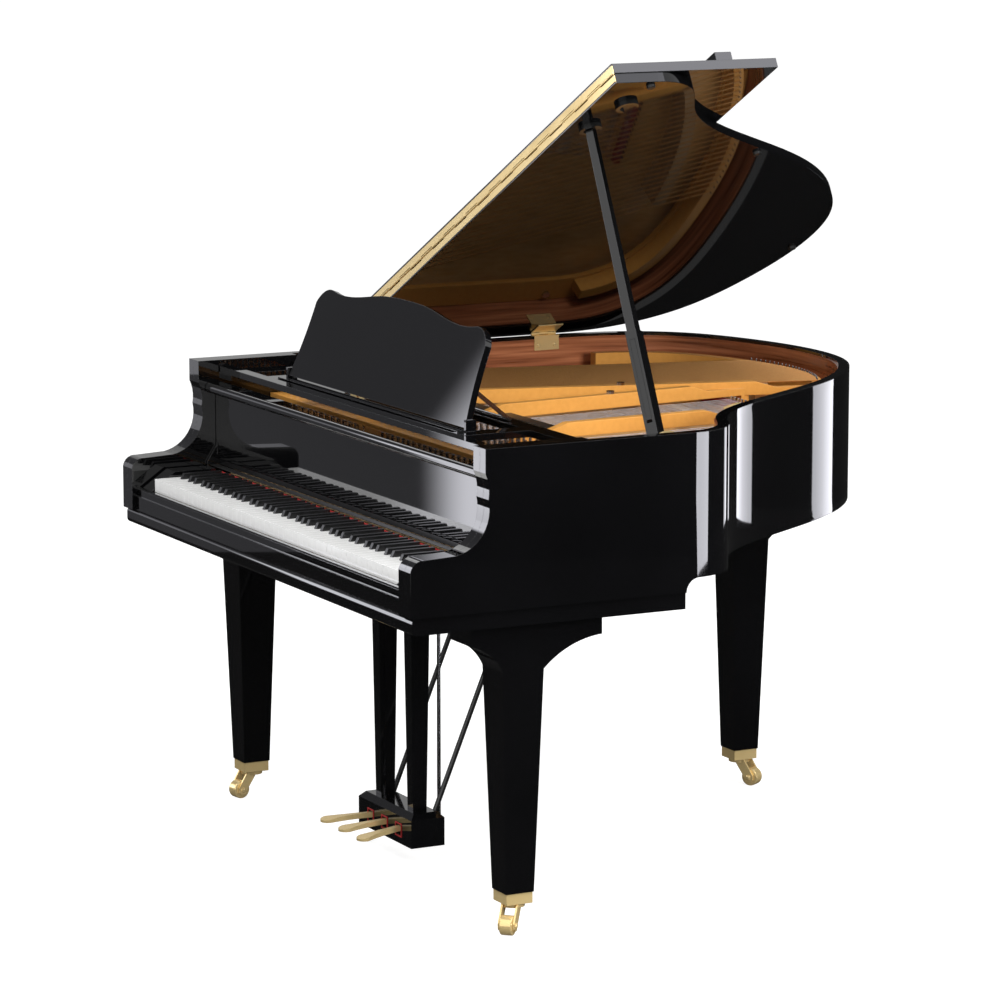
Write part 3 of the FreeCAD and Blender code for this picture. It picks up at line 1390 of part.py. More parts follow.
def pedal(x, splay):
    """Pedal: a straight lever through the box and a paddle that widens, swings out and droops."""
    tail_y = pedal_pivot_y + pedal_tail
    tip_y = pedal_pivot_y - pedal_length
    neck_y = box_front - slot_play
    half = pedal_neck / 2
    wide = pedal_tip_width / 2
    ball_y = tip_y + wide
    low = pedal_z - pedal_thickness / 2 - pedal_droop - overrun

    def at(dx, y):
        return Vector(x + dx, y, low)

    waist_y = neck_y + (ball_y - neck_y) * pedal_waist_share
    sides = []
    for sign in (-1, 1):
        flank = Part.BSplineCurve()
        flank.interpolate([at(sign * half, neck_y), at(splay * pedal_waist_share + sign * half, waist_y),
                           at(splay + sign * wide, ball_y)])
        sides.append(flank.toShape())
    edges = [Part.makeLine(at(-half, tail_y), at(half, tail_y)),
             Part.makeLine(at(half, tail_y), at(half, neck_y)),
             Part.makeLine(at(-half, tail_y), at(-half, neck_y)), *sides,
             Part.Arc(at(splay - wide, ball_y), at(splay, tip_y), at(splay + wide, ball_y)).toShape()]
    plan = Part.Face(Part.Wire(Part.sortEdges(edges)[0])).extrude(Vector(0, 0, pedal_stock_height))
    top = pedal_z + pedal_thickness / 2
    bottom = pedal_z - pedal_thickness / 2
    left = x - pedal_pitch
    end_y = tip_y - slot_play
    middle_y = (neck_y + end_y) / 2
    drop = pedal_droop * pedal_droop_share
    upper = [Vector(left, neck_y, top), Vector(left, middle_y, top - drop),
             Vector(left, end_y, top - pedal_droop)]
    lower = [Vector(left, neck_y, bottom), Vector(left, middle_y, bottom - drop),
             Vector(left, end_y, bottom + pedal_thickness / 2 - pedal_droop)]
    back = [Vector(left, tail_y, top), Vector(left, tail_y, bottom)]
    outline = [Part.Arc(*upper).toShape(), Part.Arc(*lower).toShape(), Part.makeLine(upper[-1], lower[-1]),
               Part.makeLine(upper[0], back[0]), Part.makeLine(*back), Part.makeLine(back[1], lower[0])]
    side = Part.Face(Part.Wire(Part.sortEdges(outline)[0])).extrude(Vector(2 * pedal_pitch, 0, 0))
    bore = x_rod(pedal_pivot_y, pedal_z, pedal_pin_radius + pin_play, x - pedal_pitch, x + pedal_pitch)
    return side.common(plan).cut(bore)


def make_pedals():
    """Three pedals, and the rod that each of them pushes up through the keybed."""
    places = (("left", -pedal_pitch, -pedal_splay), ("middle", 0, 0), ("right", pedal_pitch, pedal_splay))
    for name, x, splay in places:
        save(name + "_pedal", pedal(x, splay))
        ball = Vector(x, rod_y, pedal_z + pedal_thickness / 2 + rod_tail_gap + rod_radius)
        save(name + "_pedal_rod", fused([Part.makeSphere(rod_radius, ball),
                                         rod(ball, Vector(x, rod_y, rod_top_z), rod_radius)]))


os.makedirs("parts", exist_ok=True)
make_case()
make_braces()
make_keybed()
make_soundboard()
make_strings()
make_plate()
make_keyboard()
make_key_frame()
make_dampers()
make_key_surround()
make_fallboard()
make_desk_tray()
make_music_desk()
make_desk_strut()
make_lid()
make_prop()
make_legs()
make_lyre()
make_pedals()
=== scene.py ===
"""Looks of the grand piano around its CAD frame: finishes, small fittings, light and camera."""
import json
import math

import bmesh
import bpy
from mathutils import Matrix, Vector


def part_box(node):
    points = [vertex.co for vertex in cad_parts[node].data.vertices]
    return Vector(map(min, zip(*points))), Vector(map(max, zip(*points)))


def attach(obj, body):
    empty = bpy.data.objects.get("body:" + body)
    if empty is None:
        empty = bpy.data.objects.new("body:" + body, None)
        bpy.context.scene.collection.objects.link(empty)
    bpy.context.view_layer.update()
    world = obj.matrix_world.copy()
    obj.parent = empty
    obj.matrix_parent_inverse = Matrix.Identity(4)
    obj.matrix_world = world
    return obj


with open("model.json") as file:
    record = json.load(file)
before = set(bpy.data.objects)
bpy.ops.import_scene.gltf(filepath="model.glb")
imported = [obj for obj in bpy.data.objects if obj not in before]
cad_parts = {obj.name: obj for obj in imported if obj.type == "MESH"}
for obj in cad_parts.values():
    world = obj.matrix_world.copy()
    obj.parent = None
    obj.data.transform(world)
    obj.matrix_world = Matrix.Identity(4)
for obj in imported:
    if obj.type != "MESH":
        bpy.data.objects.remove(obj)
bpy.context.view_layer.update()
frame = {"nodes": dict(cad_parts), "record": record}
nodes = frame["nodes"]

# Sizes in metres and angles in radians
WELD_DIGITS = 5
SMOOTH_ANGLE = math.radians(40)
KEY_COVER_END = -0.545

# Raised lid, with the axis that it turns on
LID_RISE = math.radians(27.75)
LID_AXIS = Vector((-0.713, 0, 0.995))
LID_BOTTOM = 0.999
LID_ENDS = (-0.017, 1.443)
LID_TO_FLAP = 0.050

# Turned fittings, as a radius at each rise
HEAD_SIDES = 12
PIN_SIDES = 8
BUTTON_SIDES = 20
BUTTON_SPOTS = ((0.7125, -0.118), (0.333, 0.327), (-0.249, 0.727))
BUTTON_PROFILE = ((0.009, 0.0), (0.009, 0.004), (0.0078, 0.0062), (0.0045, 0.007))
STRING_TIP = 0.0005
HITCH_PIN_DROP = 0.016
HITCH_PIN_PROFILE = ((0.0018, 0.0), (0.0018, 0.021), (0.0011, 0.0225))
COIL_RISE = 0.0225
COIL_RADIUS = 0.0042
COIL_WIRE = 0.0005
COIL_TURNS = 4
SCREW_INSET = 0.011
SCREW_PROFILE = ((0.0042, 0.0), (0.0040, 0.0006), (0.0028, 0.0012), (0.0010, 0.0015))
AXLE_REACH = 0.0176
AXLE_PROFILE = ((0.0062, 0.0), (0.0062, 0.0010), (0.0048, 0.0022), (0.0020, 0.0028))

# Bars along X, as a profile of Y and Z
KEY_FELT_REACH = 0.611
KEY_FELT_PROFILE = ((-0.5590, 0.7464), (-0.5550, 0.7460), (-0.5545, 0.7515), (-0.5565, 0.7527),
                    (-0.5588, 0.7515))
FALLBOARD_FOOT_REACH = 0.6655
FALLBOARD_FOOT_PROFILE = ((-0.5370, 0.7790), (-0.5370, 0.7605), (-0.5364, 0.7592), (-0.5352, 0.7588),
                          (-0.5260, 0.7588), (-0.5240, 0.7600), (-0.5240, 0.7790))
NAME_STRIP_REACH = 0.6635
NAME_STRIP_PROFILE = ((-0.5560, 0.7574), (-0.5560, 0.7581), (-0.5556, 0.7585), (-0.5376, 0.7585),
                      (-0.5376, 0.7574))
LID_BEAD_PROFILE = ((-0.2038, 0.0042), (-0.2056, 0.0042), (-0.2059, 0.0047), (-0.2059, 0.0082),
                    (-0.2056, 0.0087), (-0.2038, 0.0087))

# Felt frames round the pedals, as a half width, a low edge and a high edge
PEDAL_SPOTS = (-0.068, 0.0, 0.068)
PEDAL_FELT_OUTER = (0.0150, 0.0615, 0.0915)
PEDAL_FELT_INNER = (0.0122, 0.0645, 0.0887)
PEDAL_FELT_THICKNESS = 0.0014


# Materials

SHADE_STOPS = (0.3, 0.7)
GRAIN_STOPS = (0.28, 0.72)
WOOD_WEAR = 0.15
METAL_WEAR = 0.12
PAINT_WEAR = 0.08
BARE_WOOD = ((0.46, 0.31, 0.16), (0.58, 0.41, 0.23))


def shader_of(made):
    """The material's principled shader."""
    return made.node_tree.nodes["Principled BSDF"]


def new_material(name, settings):
    """A principled material with constant values on the shader's own sockets."""
    made = bpy.data.materials.new(name)
    made.use_nodes = True
    for socket, value in settings.items():
        shader_of(made).inputs[socket].default_value = value
    return made


def add_node(made, kind, values=None, **props):
    """A node of a material or world, with its plain values set."""
    node = made.node_tree.nodes.new(kind)
    for name, value in props.items():
        setattr(node, name, value)
    for socket, value in (values or {}).items():
        node.inputs[socket].default_value = value
    return node


def link(made, start, end):
    """Joins two sockets of a material or world."""
    made.node_tree.links.new(start, end)


def noise(made, scale, stretch=(1, 1, 1), detail=4.0):
    """Noise in the object's own coordinates, drawn out along some axes."""
    place = add_node(made, "ShaderNodeTexCoord")
    mapping = add_node(made, "ShaderNodeMapping", {"Scale": stretch})
    texture = add_node(made, "ShaderNodeTexNoise", {"Scale": scale, "Detail": detail})
    link(made, place.outputs["Object"], mapping.inputs["Vector"])
    link(made, mapping.outputs["Vector"], texture.inputs["Vector"])
    return texture.outputs["Fac"]


def ramp(made, source, spots, colours):
    """Colours at some spots along a value."""
    node = add_node(made, "ShaderNodeValToRGB")
    while len(node.color_ramp.elements) < len(colours):
        node.color_ramp.elements.new(1.0)
    for element, spot, colour in zip(node.color_ramp.elements, spots, colours):
        element.position = spot
        element.color = (*colour, 1)
    link(made, source, node.inputs["Fac"])
    return node.outputs["Color"]


def tint(made, source, low, high):
    """Colours the material between two shades."""
    link(made, ramp(made, source, SHADE_STOPS, (low, high)), shader_of(made).inputs["Base Color"])


def gloss(made, source, low, high):
    """Lets the roughness wander a little."""
    node = add_node(made, "ShaderNodeMapRange", {"To Min": low, "To Max": high})
    link(made, source, node.inputs["Value"])
    link(made, node.outputs["Result"], shader_of(made).inputs["Roughness"])


def relief(made, source, strength, distance, rounding=0.0):
    """Fine surface relief, with edges that look rounded where a rounding is given."""
    bump = add_node(made, "ShaderNodeBump", {"Strength": strength, "Distance": distance})
    link(made, source, bump.inputs["Height"])
    if rounding:
        bevel = add_node(made, "ShaderNodeBevel", {"Radius": rounding}, samples=4)
        link(made, bevel.outputs["Normal"], bump.inputs["Normal"])
    link(made, bump.outputs["Normal"], shader_of(made).inputs["Normal"])


def lacquer(name, ior, rounding, coat):
    """Polished black polyester."""
    made = new_material(name, {"IOR": ior, "Coat Weight": coat, "Coat Roughness": 0.02, "Coat IOR": ior})
    clouds = noise(made, scale=3.0)
    tint(made, clouds, low=(0.0016, 0.0016, 0.0018), high=(0.0026, 0.0026, 0.003))
    gloss(made, clouds, low=0.02, high=0.05)
    relief(made, noise(made, scale=9.0, detail=1.0), strength=0.04, distance=0.0005, rounding=rounding)
    return made


def wood(name, colours, scale, stretch, rough, coat):
    """Grained wood under a thin finish."""
    made = new_material(name, {"Coat Weight": coat, "Coat Roughness": 0.15})
    grain = noise(made, scale, stretch, detail=6.0)
    first, last = GRAIN_STOPS
    spots = [first + (last - first) * index / (len(colours) - 1) for index in range(len(colours))]
    link(made, ramp(made, grain, spots, colours), shader_of(made).inputs["Base Color"])
    gloss(made, grain, rough, rough + WOOD_WEAR)
    relief(made, grain, strength=0.08, distance=0.001)
    return made


def metal(name, low, high, rough, scale=60.0, stretch=(1, 1, 1), rounding=0.0, share=1.0):
    """Polished, drawn or lacquered metal with slight wear."""
    made = new_material(name, {"Metallic": share})
    wear = noise(made, scale, stretch)
    tint(made, wear, low, high)
    gloss(made, wear, rough, rough + METAL_WEAR)
    relief(made, wear, strength=0.003, distance=0.0001, rounding=rounding)
    return made


def felt(name, low, high):
    """Pressed felt."""
    made = new_material(name, {"Roughness": 1.0, "Sheen Weight": 0.08, "Specular IOR Level": 0.1})
    fibre = noise(made, scale=700.0, detail=3.0)
    tint(made, fibre, low, high)
    relief(made, fibre, strength=0.4, distance=0.001)
    return made


def plain(name, low, high, rough, scale, coat=0.0, rounding=0.0):
    """Painted or moulded surface."""
    made = new_material(name, {"Coat Weight": coat, "Coat Roughness": 0.05})
    flecks = noise(made, scale)
    tint(made, flecks, low, high)
    gloss(made, flecks, rough, rough + PAINT_WEAR)
    relief(made, flecks, strength=0.02, distance=0.0002, rounding=rounding)
    return made


def bare_behind(made, end, shades):
    """Bare wood behind the line across the part where a cover ends."""
    shader = shader_of(made)
    cover = shader.inputs["Base Color"].links[0].from_socket
    grain = ramp(made, noise(made, scale=14.0, stretch=(8.0, 1.0, 1.0)), SHADE_STOPS, shades)
    place = add_node(made, "ShaderNodeTexCoord")
    split = add_node(made, "ShaderNodeSeparateXYZ")
    behind = add_node(made, "ShaderNodeMath", {1: end}, operation="GREATER_THAN")
    mix = add_node(made, "ShaderNodeMixRGB")
    link(made, place.outputs["Object"], split.inputs["Vector"])
    link(made, split.outputs["Y"], behind.inputs[0])
    link(made, behind.outputs["Value"], mix.inputs["Fac"])
    link(made, cover, mix.inputs["Color1"])
    link(made, grain, mix.inputs["Color2"])
    link(made, mix.outputs["Color"], shader.inputs["Base Color"])


def dress(piece, made):
    """Gives an object one material."""
    piece.data.materials.clear()
    piece.data.materials.append(made)


MATERIALS = {
    "black_lacquer": lacquer("black_lacquer", ior=1.45, rounding=0.002, coat=1.0),
    "mahogany": wood("mahogany", ((0.12, 0.034, 0.014), (0.30, 0.098, 0.042), (0.50, 0.19, 0.088)),
                     scale=6.0, stretch=(0.6, 0.6, 20.0), rough=0.22, coat=0.5),
    "maple": wood("maple", ((0.42, 0.26, 0.13), (0.56, 0.38, 0.21)),
                  scale=14.0, stretch=(1.0, 1.0, 8.0), rough=0.4, coat=0.1),
    "spruce": wood("spruce", ((0.56, 0.31, 0.10), (0.72, 0.44, 0.18)),
                   scale=5.0, stretch=(22.0, 4.0, 1.0), rough=0.3, coat=0.4),
    "bronze_plate": plain("bronze_plate", (0.58, 0.27, 0.058), (0.63, 0.30, 0.068),
                          rough=0.32, scale=90.0, coat=0.2, rounding=0.003),
    "steel": metal("steel", (0.50, 0.50, 0.52), (0.66, 0.66, 0.68), rough=0.16),
    "copper": metal("copper", (0.62, 0.30, 0.10), (0.80, 0.45, 0.17),
                    rough=0.28, scale=400.0, stretch=(0.3, 6.0, 1.0)),
    "brass": metal("brass", (0.95, 0.71, 0.32), (0.98, 0.76, 0.38),
                   rough=0.10, scale=12.0, rounding=0.001, share=0.6),
    "black_metal": plain("black_metal", (0.006, 0.006, 0.006), (0.014, 0.014, 0.014),
                         rough=0.18, scale=60.0, coat=0.5, rounding=0.001),
    "white_key": plain("white_key", (0.80, 0.80, 0.79), (0.84, 0.84, 0.83),
                       rough=0.14, scale=40.0, coat=0.4, rounding=0.0012),
    "black_key": plain("black_key", (0.004, 0.004, 0.004), (0.009, 0.009, 0.010),
                       rough=0.26, scale=50.0, rounding=0.0015),
    "red_felt": felt("red_felt", (0.24, 0.011, 0.012), (0.40, 0.024, 0.024)),
    "hammer_felt": felt("hammer_felt", (0.62, 0.58, 0.50), (0.74, 0.71, 0.63)),
    "damper_black": plain("damper_black", (0.008, 0.008, 0.008), (0.020, 0.020, 0.020),
                          rough=0.28, scale=60.0),
}
LID_LACQUER = lacquer("lid_lacquer", ior=1.42, rounding=0.002, coat=0.05)

for key_slot in ("white_key", "black_key"):
    bare_behind(MATERIALS[key_slot], KEY_COVER_END, BARE_WOOD)
for subpart in frame["record"]["subparts"]:
    dress(nodes[subpart["node"]], MATERIALS[subpart["material_slot"]])
dress(nodes["main_lid"], LID_LACQUER)


# Small fittings

def solids_of(name):
    """Points of each separate solid in a CAD node."""
    mesh = nodes[name].data
    places = {}
    spots = [places.setdefault(tuple(round(value, WELD_DIGITS) for value in vertex.co), len(places))
             for vertex in mesh.vertices]
    leader = list(range(len(places)))

    def lead(spot):
        while leader[spot] != spot:
            leader[spot] = leader[leader[spot]]
            spot = leader[spot]
        return spot

    for edge in mesh.edges:
        leader[lead(spots[edge.vertices[0]])] = lead(spots[edge.vertices[1]])
    groups = {}
    for place, spot in places.items():
        groups.setdefault(lead(spot), []).append(Vector(place))
    return list(groups.values())


def middle(points):
    """Middle of some points."""
    return sum(points, Vector()) / len(points)


def lathe(shape, foot, axis, profile, sides):
    """Turned solid from rings of a radius at a rise along an axis."""
    along = Vector(axis).normalized()
    across = along.orthogonal().normalized()
    over = along.cross(across)
    rings = []
    for radius, rise in profile:
        ring = []
        for index in range(sides):
            turn = 2 * math.pi * index / sides
            ring.append(shape.verts.new(Vector(foot) + along * rise
                                        + (across * math.cos(turn) + over * math.sin(turn)) * radius))
        rings.append(ring)
    for low, high in zip(rings, rings[1:]):
        for index in range(sides):
            after = (index + 1) % sides
            shape.faces.new((low[index], low[after], high[after], high[index]))
    shape.faces.new(rings[0][::-1])
    shape.faces.new(rings[-1])


def on_lid(spot):
    """Place in the room of a spot given along, across and above the lid from its axis."""
    out, y, up = spot
    rise, run = math.sin(LID_RISE), math.cos(LID_RISE)
    return Vector((LID_AXIS.x + out * run - up * rise, y, LID_AXIS.z + out * rise + up * run))


def bar(shape, start, end, profile, place=Vector):
    """Bar along X with a closed profile of Y and Z, whose points a function puts in place."""
    first, last = [[shape.verts.new(place((x, y, z))) for y, z in profile] for x in (start, end)]
    for index in range(len(profile)):
        before = index - 1
        shape.faces.new((first[before], first[index], last[index], last[before]))
    shape.faces.new(first[::-1])
    shape.faces.new(last)


def frame_ring(shape, x, outer, inner, front, back):
    """Upright rectangular frame round an opening."""
    loops = []
    for y in (front, back):
        for half, low, high in (outer, inner):
            loops.append([shape.verts.new((x + side * half, y, z))
                          for side, z in ((-1, low), (1, low), (1, high), (-1, high))])
    for first, second in ((0, 1), (1, 3), (3, 2), (2, 0)):
        for index in range(4):
            shape.faces.new((loops[first][index - 1], loops[first][index],
                             loops[second][index], loops[second][index - 1]))


def add_piece(name, shape, body, slot):
    """Turns a shape into a piece that rides a body."""
    bmesh.ops.recalc_face_normals(shape, faces=shape.faces)
    mesh = bpy.data.meshes.new(name)
    shape.to_mesh(mesh)
    shape.free()
    mesh.shade_smooth()
    mesh.set_sharp_from_angle(angle=SMOOTH_ANGLE)
    made = bpy.data.objects.new(name, mesh)
    bpy.context.scene.collection.objects.link(made)
    dress(made, MATERIALS[slot])
    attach(made, body)


def add_bar(name, reach, profile, body, slot):
    """Bar across the middle of the piano."""
    shape = bmesh.new()
    bar(shape, -reach, reach, profile)
    add_piece(name, shape, body, slot)


def add_hitch_pins():
    """A pin on the plate at the far end of each string."""
    shape = bmesh.new()
    for name in ("plain_strings", "wound_strings"):
        for points in solids_of(name):
            far = max(point.y for point in points) - STRING_TIP
            spot = middle([point for point in points if point.y > far])
            lathe(shape, spot - Vector((0, 0, HITCH_PIN_DROP)), (0, 0, 1), HITCH_PIN_PROFILE, PIN_SIDES)
    add_piece("hitch_pins", shape, "case", "steel")


def add_coils():
    """Wire coiled round each tuning pin."""
    shape = bmesh.new()
    profile = []
    for turn in range(COIL_TURNS):
        profile.append((COIL_RADIUS - COIL_WIRE, 2 * turn * COIL_WIRE))
        profile.append((COIL_RADIUS, (2 * turn + 1) * COIL_WIRE))
    for points in solids_of("tuning_pins"):
        spot = middle(points)
        low = min(point.z for point in points)
        lathe(shape, (spot.x, spot.y, low + COIL_RISE), (0, 0, 1), profile, PIN_SIDES)
    add_piece("string_coils", shape, "case", "steel")


def add_pedal_felts():
    """Red felt round the openings of the pedals."""
    shape = bmesh.new()
    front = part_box("pedal_box")[0][1]
    for x in PEDAL_SPOTS:
        frame_ring(shape, x, PEDAL_FELT_OUTER, PEDAL_FELT_INNER, front - PEDAL_FELT_THICKNESS, front)
    add_piece("pedal_felts", shape, "case", "red_felt")


def add_lid_buttons():
    """Rubber buttons under the lid, between it and the rim when it is closed."""
    shape = bmesh.new()
    down = (math.sin(LID_RISE), 0, -math.cos(LID_RISE))
    for x, y in BUTTON_SPOTS:
        foot = on_lid((x - LID_AXIS.x, y, LID_BOTTOM - LID_AXIS.z))
        lathe(shape, foot, down, BUTTON_PROFILE, BUTTON_SIDES)
    add_piece("lid_buttons", shape, "lid", "damper_black")


def add_edge_beads():
    """Black beads along the lid's and the flap's edge, beside the long hinge."""
    flap_profile = [(y, LID_TO_FLAP - z) for y, z in LID_BEAD_PROFILE]
    for body, profile in (("lid", LID_BEAD_PROFILE), ("flap", flap_profile)):
        shape = bmesh.new()
        bar(shape, *LID_ENDS, profile, on_lid)
        add_piece(body + "_edge_bead", shape, body, "black_lacquer")


def add_hinge_screws():
    """Two screws in each lower hinge leaf."""
    shape = bmesh.new()
    for points in solids_of("rim_hinge_leaves"):
        face = max(point.x for point in points)
        front, back = [pick(point.y for point in points) for pick in (min, max)]
        low = min(point.z for point in points)
        for y in (front + SCREW_INSET, back - SCREW_INSET):
            lathe(shape, (face, y, low + SCREW_INSET), (1, 0, 0), SCREW_PROFILE, HEAD_SIDES)
    add_piece("hinge_screws", shape, "case", "brass")


def add_axle_heads():
    """Domed axle heads on both sides of each caster."""
    joints = {joint["name"]: joint for joint in frame["record"]["behaviour"]["joints"]}
    for name in ("front_left", "front_right", "rear"):
        shape = bmesh.new()
        roll = joints[name + "_roll"]
        for side in (-1, 1):
            out = Vector(roll["axis"]) * side
            lathe(shape, Vector(roll["pos_m"]) + out * AXLE_REACH, out, AXLE_PROFILE, HEAD_SIDES)
        add_piece(name + "_axle_heads", shape, name + "_fork", "brass")


add_hitch_pins()
add_coils()
add_bar("key_felt", KEY_FELT_REACH, KEY_FELT_PROFILE, "case", "red_felt")
add_pedal_felts()
add_lid_buttons()
add_edge_beads()
add_bar("fallboard_foot", FALLBOARD_FOOT_REACH, FALLBOARD_FOOT_PROFILE, "fallboard", "black_lacquer")
add_bar("name_strip", NAME_STRIP_REACH, NAME_STRIP_PROFILE, "case", "damper_black")
add_hinge_screws()
add_axle_heads()


# Stage

WHITE = (1, 1, 1)
LAVENDER = (0.93, 0.93, 1.0)
FLOOR_REACH = 40.0
FLOOR_COLOUR = (0.45, 0.45, 0.45, 1)
FLOOR_GLOW = 0.82
WORLD_LIGHT = 0.45

# Walls of cards round the piano, with bearings in degrees from +X
CARD_RADIUS = 4.6
CARD_HEIGHTS = (0.0, 2.8)
CARD_STEPS = 24
DARK_GLOW = 0.012
RIGHT_BEARINGS = (-20.0, 150.0)
LEFT_BEARINGS = (185.0, 262.0)
BACK_BEARINGS = (150.0, 185.0)
BACK_GLOW = 0.35
EDGE_BEARINGS = (20.0, 50.0)
EDGE_HEIGHTS = (3.4, 5.8)
EDGE_GLOW = 3.4

# Bright strips before the walls, with two glows and the places between them for the tail's
STRIP_RADIUS = 4.3
STRIP_HEIGHTS = (0.0, 0.6)
STRIP_STEPS = 6
CORNER_BEARINGS = (27.3, 47.5)
CORNER_GLOW = 7.5
TAIL_BEARINGS = (96.0, 108.0)
TAIL_GLOW = (3.3, 1.9, 0.0, 1.0)

# Dark disc over the floor
GROUND_RADIUS = 4.7
GROUND_RISE = 0.0006
GROUND_SIDES = 48
GROUND_GLOW = 0.018

# Flat cards that fallboard, hinge and desk show, as heights, two glows and the places between them
FRONT_CENTRE = (-2.62, -1.46)
FRONT_WIDTH = 2.2
FRONT_FACING = 27.2
FRONT_CARDS = (
    ("card_fallboard", (0.195, 0.66), (0.12, 3.0, 0.715, 0.785)),
    ("card_hinge", (0.66, 1.28), (0.6, 3.0, 0.66, 0.74)),
    ("card_desk", (1.28, 2.9), (0.11, 3.4, 0.665, 0.745)),
)

# Lamps, as a place, an aim, a size in metres and a power in watts
LAMPS = (
    ("key_lamp", (2.6, -2.4, 4.2), (0.0, 0.0, 0.8), 2.6, 210.0),
    ("top_lamp", (1.2, 1.2, 4.6), (0.1, 0.2, 0.8), 3.0, 145.0),
    ("fill_lamp", (-3.2, -3.6, 2.6), (0.0, -0.3, 0.7), 2.4, 70.0),
    ("side_lamp", (3.6, 0.9, 1.9), (-0.6, 0.25, 0.95), 1.2, 110.0),
)


def clear_nodes(made):
    """Starts a material or world with no nodes."""
    made.use_nodes = True
    made.node_tree.nodes.clear()


def emitter(name, strength, colour=WHITE):
    """Evenly glowing material."""
    made = bpy.data.materials.new(name)
    clear_nodes(made)
    glow = add_node(made, "ShaderNodeEmission", {"Color": (*colour, 1), "Strength": strength})
    out = add_node(made, "ShaderNodeOutputMaterial")
    link(made, glow.outputs["Emission"], out.inputs["Surface"])
    return made


def graded_emitter(name, first, last, start, end):
    """Glow that changes along the card's own X, between two places from 0 to 1."""
    made = emitter(name, last, LAVENDER)
    place = add_node(made, "ShaderNodeTexCoord")
    split = add_node(made, "ShaderNodeSeparateXYZ")
    limits = {"From Min": start, "From Max": end, "To Min": first, "To Max": last}
    grade = add_node(made, "ShaderNodeMapRange", limits, interpolation_type="SMOOTHSTEP")
    link(made, place.outputs["Generated"], split.inputs["Vector"])
    link(made, split.outputs["X"], grade.inputs["Value"])
    link(made, grade.outputs["Result"], made.node_tree.nodes["Emission"].inputs["Strength"])
    return made


def seen_level(made, unseen, seen):
    """A strength for rays that only light things, and one for the camera, reflections and glass."""
    path = add_node(made, "ShaderNodeLightPath")
    share = path.outputs["Is Camera Ray"]
    for kind in ("Is Glossy Ray", "Is Transmission Ray"):
        either = add_node(made, "ShaderNodeMath", operation="MAXIMUM")
        link(made, share, either.inputs[0])
        link(made, path.outputs[kind], either.inputs[1])
        share = either.outputs["Value"]
    level = add_node(made, "ShaderNodeMapRange", {"To Min": unseen, "To Max": seen})
    link(made, share, level.inputs["Value"])
    return level.outputs["Result"]


def mesh_object(name, points, faces, made):
    """Mesh object of one material, from points and faces."""
    mesh = bpy.data.meshes.new(name)
    mesh.from_pydata(points, [], faces)
    piece = bpy.data.objects.new(name, mesh)
    bpy.context.scene.collection.objects.link(piece)
    dress(piece, made)
    return piece


def add_card(name, points, faces, made):
    """Card that is seen in reflections alone."""
    card = mesh_object(name, points, faces, made)
    card.visible_camera = False
    card.visible_diffuse = False
    card.visible_transmission = False
    card.visible_shadow = False
    card.visible_volume_scatter = False


def add_wall(name, made, bearings, heights=CARD_HEIGHTS, radius=CARD_RADIUS, steps=CARD_STEPS):
    """Upright card bent round the piano."""
    first, last = bearings
    points = []
    for index in range(steps + 1):
        angle = math.radians(first + (last - first) * index / steps)
        points += [(math.cos(angle) * radius, math.sin(angle) * radius, z) for z in heights]
    add_card(name, points, [(2 * i, 2 * i + 2, 2 * i + 3, 2 * i + 1) for i in range(steps)], made)


def add_front_card(name, heights, made):
    """Flat upright card on the bass side that faces the keyboard."""
    low, high = heights
    angle = math.radians(FRONT_FACING)
    side = Vector((-math.sin(angle), math.cos(angle), 0)) * FRONT_WIDTH / 2
    base = Vector((*FRONT_CENTRE, 0))
    corners = ((-side, low), (side, low), (side, high), (-side, high))
    add_card(name, [base + out + Vector((0, 0, z)) for out, z in corners], [(0, 1, 2, 3)], made)


def add_ground():
    """Dark disc that reflections see in place of the floor."""
    points = []
    for index in range(GROUND_SIDES):
        turn = 2 * math.pi * index / GROUND_SIDES
        points.append((GROUND_RADIUS * math.cos(turn), GROUND_RADIUS * math.sin(turn), GROUND_RISE))
    add_card("card_ground", points, [tuple(range(GROUND_SIDES))], emitter("card_floor", GROUND_GLOW))


def add_floor():
    """White floor that keeps the piano's soft shadow."""
    made = bpy.data.materials.new("floor_white")
    clear_nodes(made)
    matt = add_node(made, "ShaderNodeBsdfDiffuse", {"Color": FLOOR_COLOUR})
    glow = add_node(made, "ShaderNodeEmission")
    both = add_node(made, "ShaderNodeAddShader")
    out = add_node(made, "ShaderNodeOutputMaterial")
    link(made, seen_level(made, 0.0, FLOOR_GLOW), glow.inputs["Strength"])
    link(made, matt.outputs["BSDF"], both.inputs[0])
    link(made, glow.outputs["Emission"], both.inputs[1])
    link(made, both.outputs["Shader"], out.inputs["Surface"])
    corners = ((-1, -1), (1, -1), (1, 1), (-1, 1))
    points = [(x * FLOOR_REACH, y * FLOOR_REACH, 0) for x, y in corners]
    mesh_object("floor", points, [(0, 1, 2, 3)], made)


def set_world():
    """White to the camera, in reflections and through glass, and weaker as light on the piano."""
    world = bpy.data.worlds.new("studio")
    bpy.context.scene.world = world
    clear_nodes(world)
    sky = add_node(world, "ShaderNodeBackground", {"Color": (*WHITE, 1)})
    out = add_node(world, "ShaderNodeOutputWorld")
    link(world, seen_level(world, WORLD_LIGHT, 1.0), sky.inputs["Strength"])
    link(world, sky.outputs["Background"], out.inputs["Surface"])


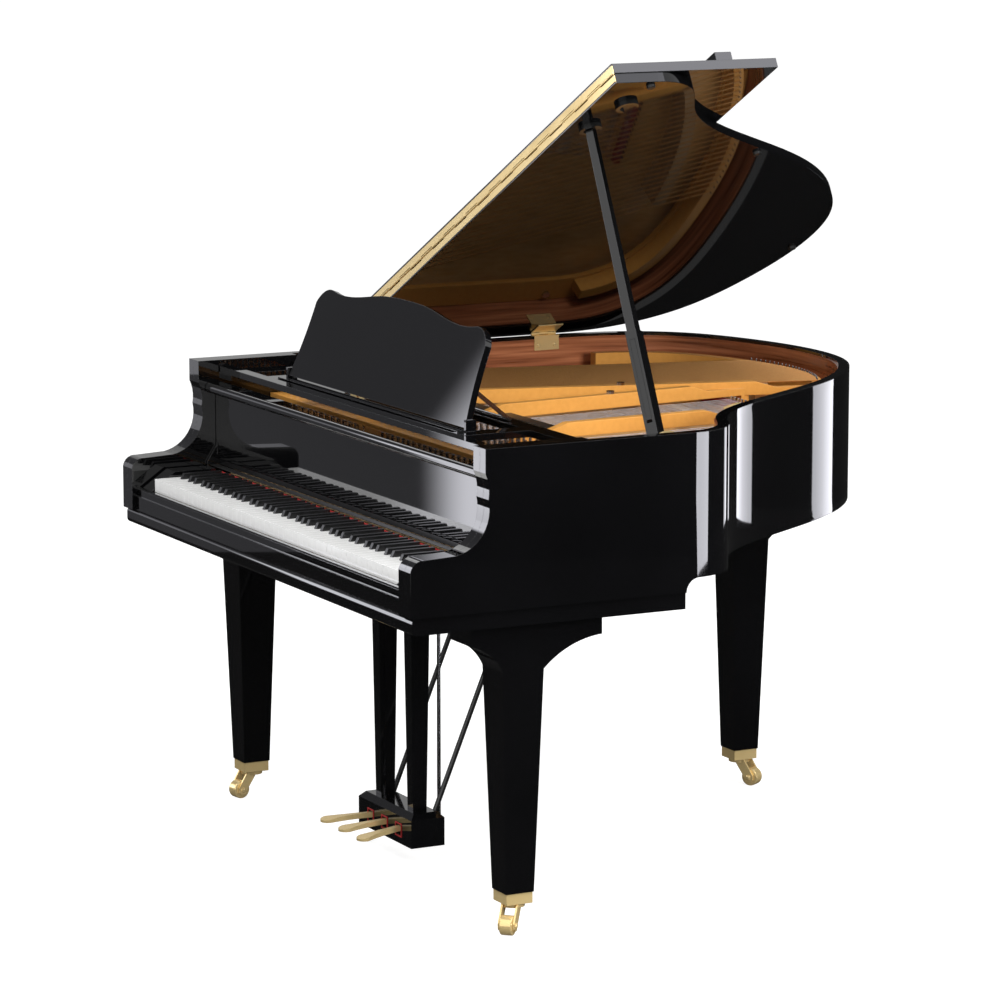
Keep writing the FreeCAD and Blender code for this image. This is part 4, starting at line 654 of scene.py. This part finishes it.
def add_lamp(name, place, aim, size, power):
    """Soft square lamp."""
    data = bpy.data.lights.new(name, "AREA")
    data.shape = "SQUARE"
    data.size = size
    data.energy = power
    lamp = bpy.data.objects.new(name, data)
    lamp.location = place
    lamp.rotation_euler = (Vector(aim) - Vector(place)).to_track_quat("-Z", "Y").to_euler()
    bpy.context.scene.collection.objects.link(lamp)
    lamp.visible_glossy = False


def set_stage():
    """Floor, world, dark and bright cards, and lamps."""
    set_world()
    add_floor()
    dark = emitter("card_dark", DARK_GLOW)
    add_wall("card_right", dark, RIGHT_BEARINGS)
    add_wall("card_left", dark, LEFT_BEARINGS)
    add_wall("card_back", emitter("card_grey", BACK_GLOW), BACK_BEARINGS)
    add_ground()
    bright = emitter("strip_corner", CORNER_GLOW, LAVENDER)
    fading = graded_emitter("strip_tail", *TAIL_GLOW)
    add_wall("strip_corner", bright, CORNER_BEARINGS, STRIP_HEIGHTS, STRIP_RADIUS, STRIP_STEPS)
    add_wall("strip_tail", fading, TAIL_BEARINGS, STRIP_HEIGHTS, STRIP_RADIUS, STRIP_STEPS)
    edge = emitter("card_edge", EDGE_GLOW, LAVENDER)
    add_wall("card_edge", edge, EDGE_BEARINGS, EDGE_HEIGHTS, steps=STRIP_STEPS)
    for name, heights, glow in FRONT_CARDS:
        add_front_card(name, heights, graded_emitter(name, *glow))
    for lamp in LAMPS:
        add_lamp(*lamp)


# Camera

CAMERA_PLACE = (7.9398, -4.2568, 2.2752)
CAMERA_BEARING = math.radians(62.814)
CAMERA_PITCH = math.radians(9.665)
CAMERA_LENS = 154.16
CAMERA_SENSOR = 36.0


def set_camera():
    """The photograph's camera."""
    run = math.cos(CAMERA_PITCH)
    rise = math.sin(CAMERA_PITCH)
    back = Vector((math.sin(CAMERA_BEARING) * run, -math.cos(CAMERA_BEARING) * run, rise))
    data = bpy.data.cameras.new("camera")
    data.lens = CAMERA_LENS
    data.sensor_width = CAMERA_SENSOR
    camera = bpy.data.objects.new("camera", data)
    camera.location = CAMERA_PLACE
    camera.rotation_euler = (-back).to_track_quat("-Z", "Y").to_euler()
    bpy.context.scene.collection.objects.link(camera)
    bpy.context.scene.camera = camera


set_stage()
set_camera()
bpy.context.scene.view_settings.view_transform = "Standard"
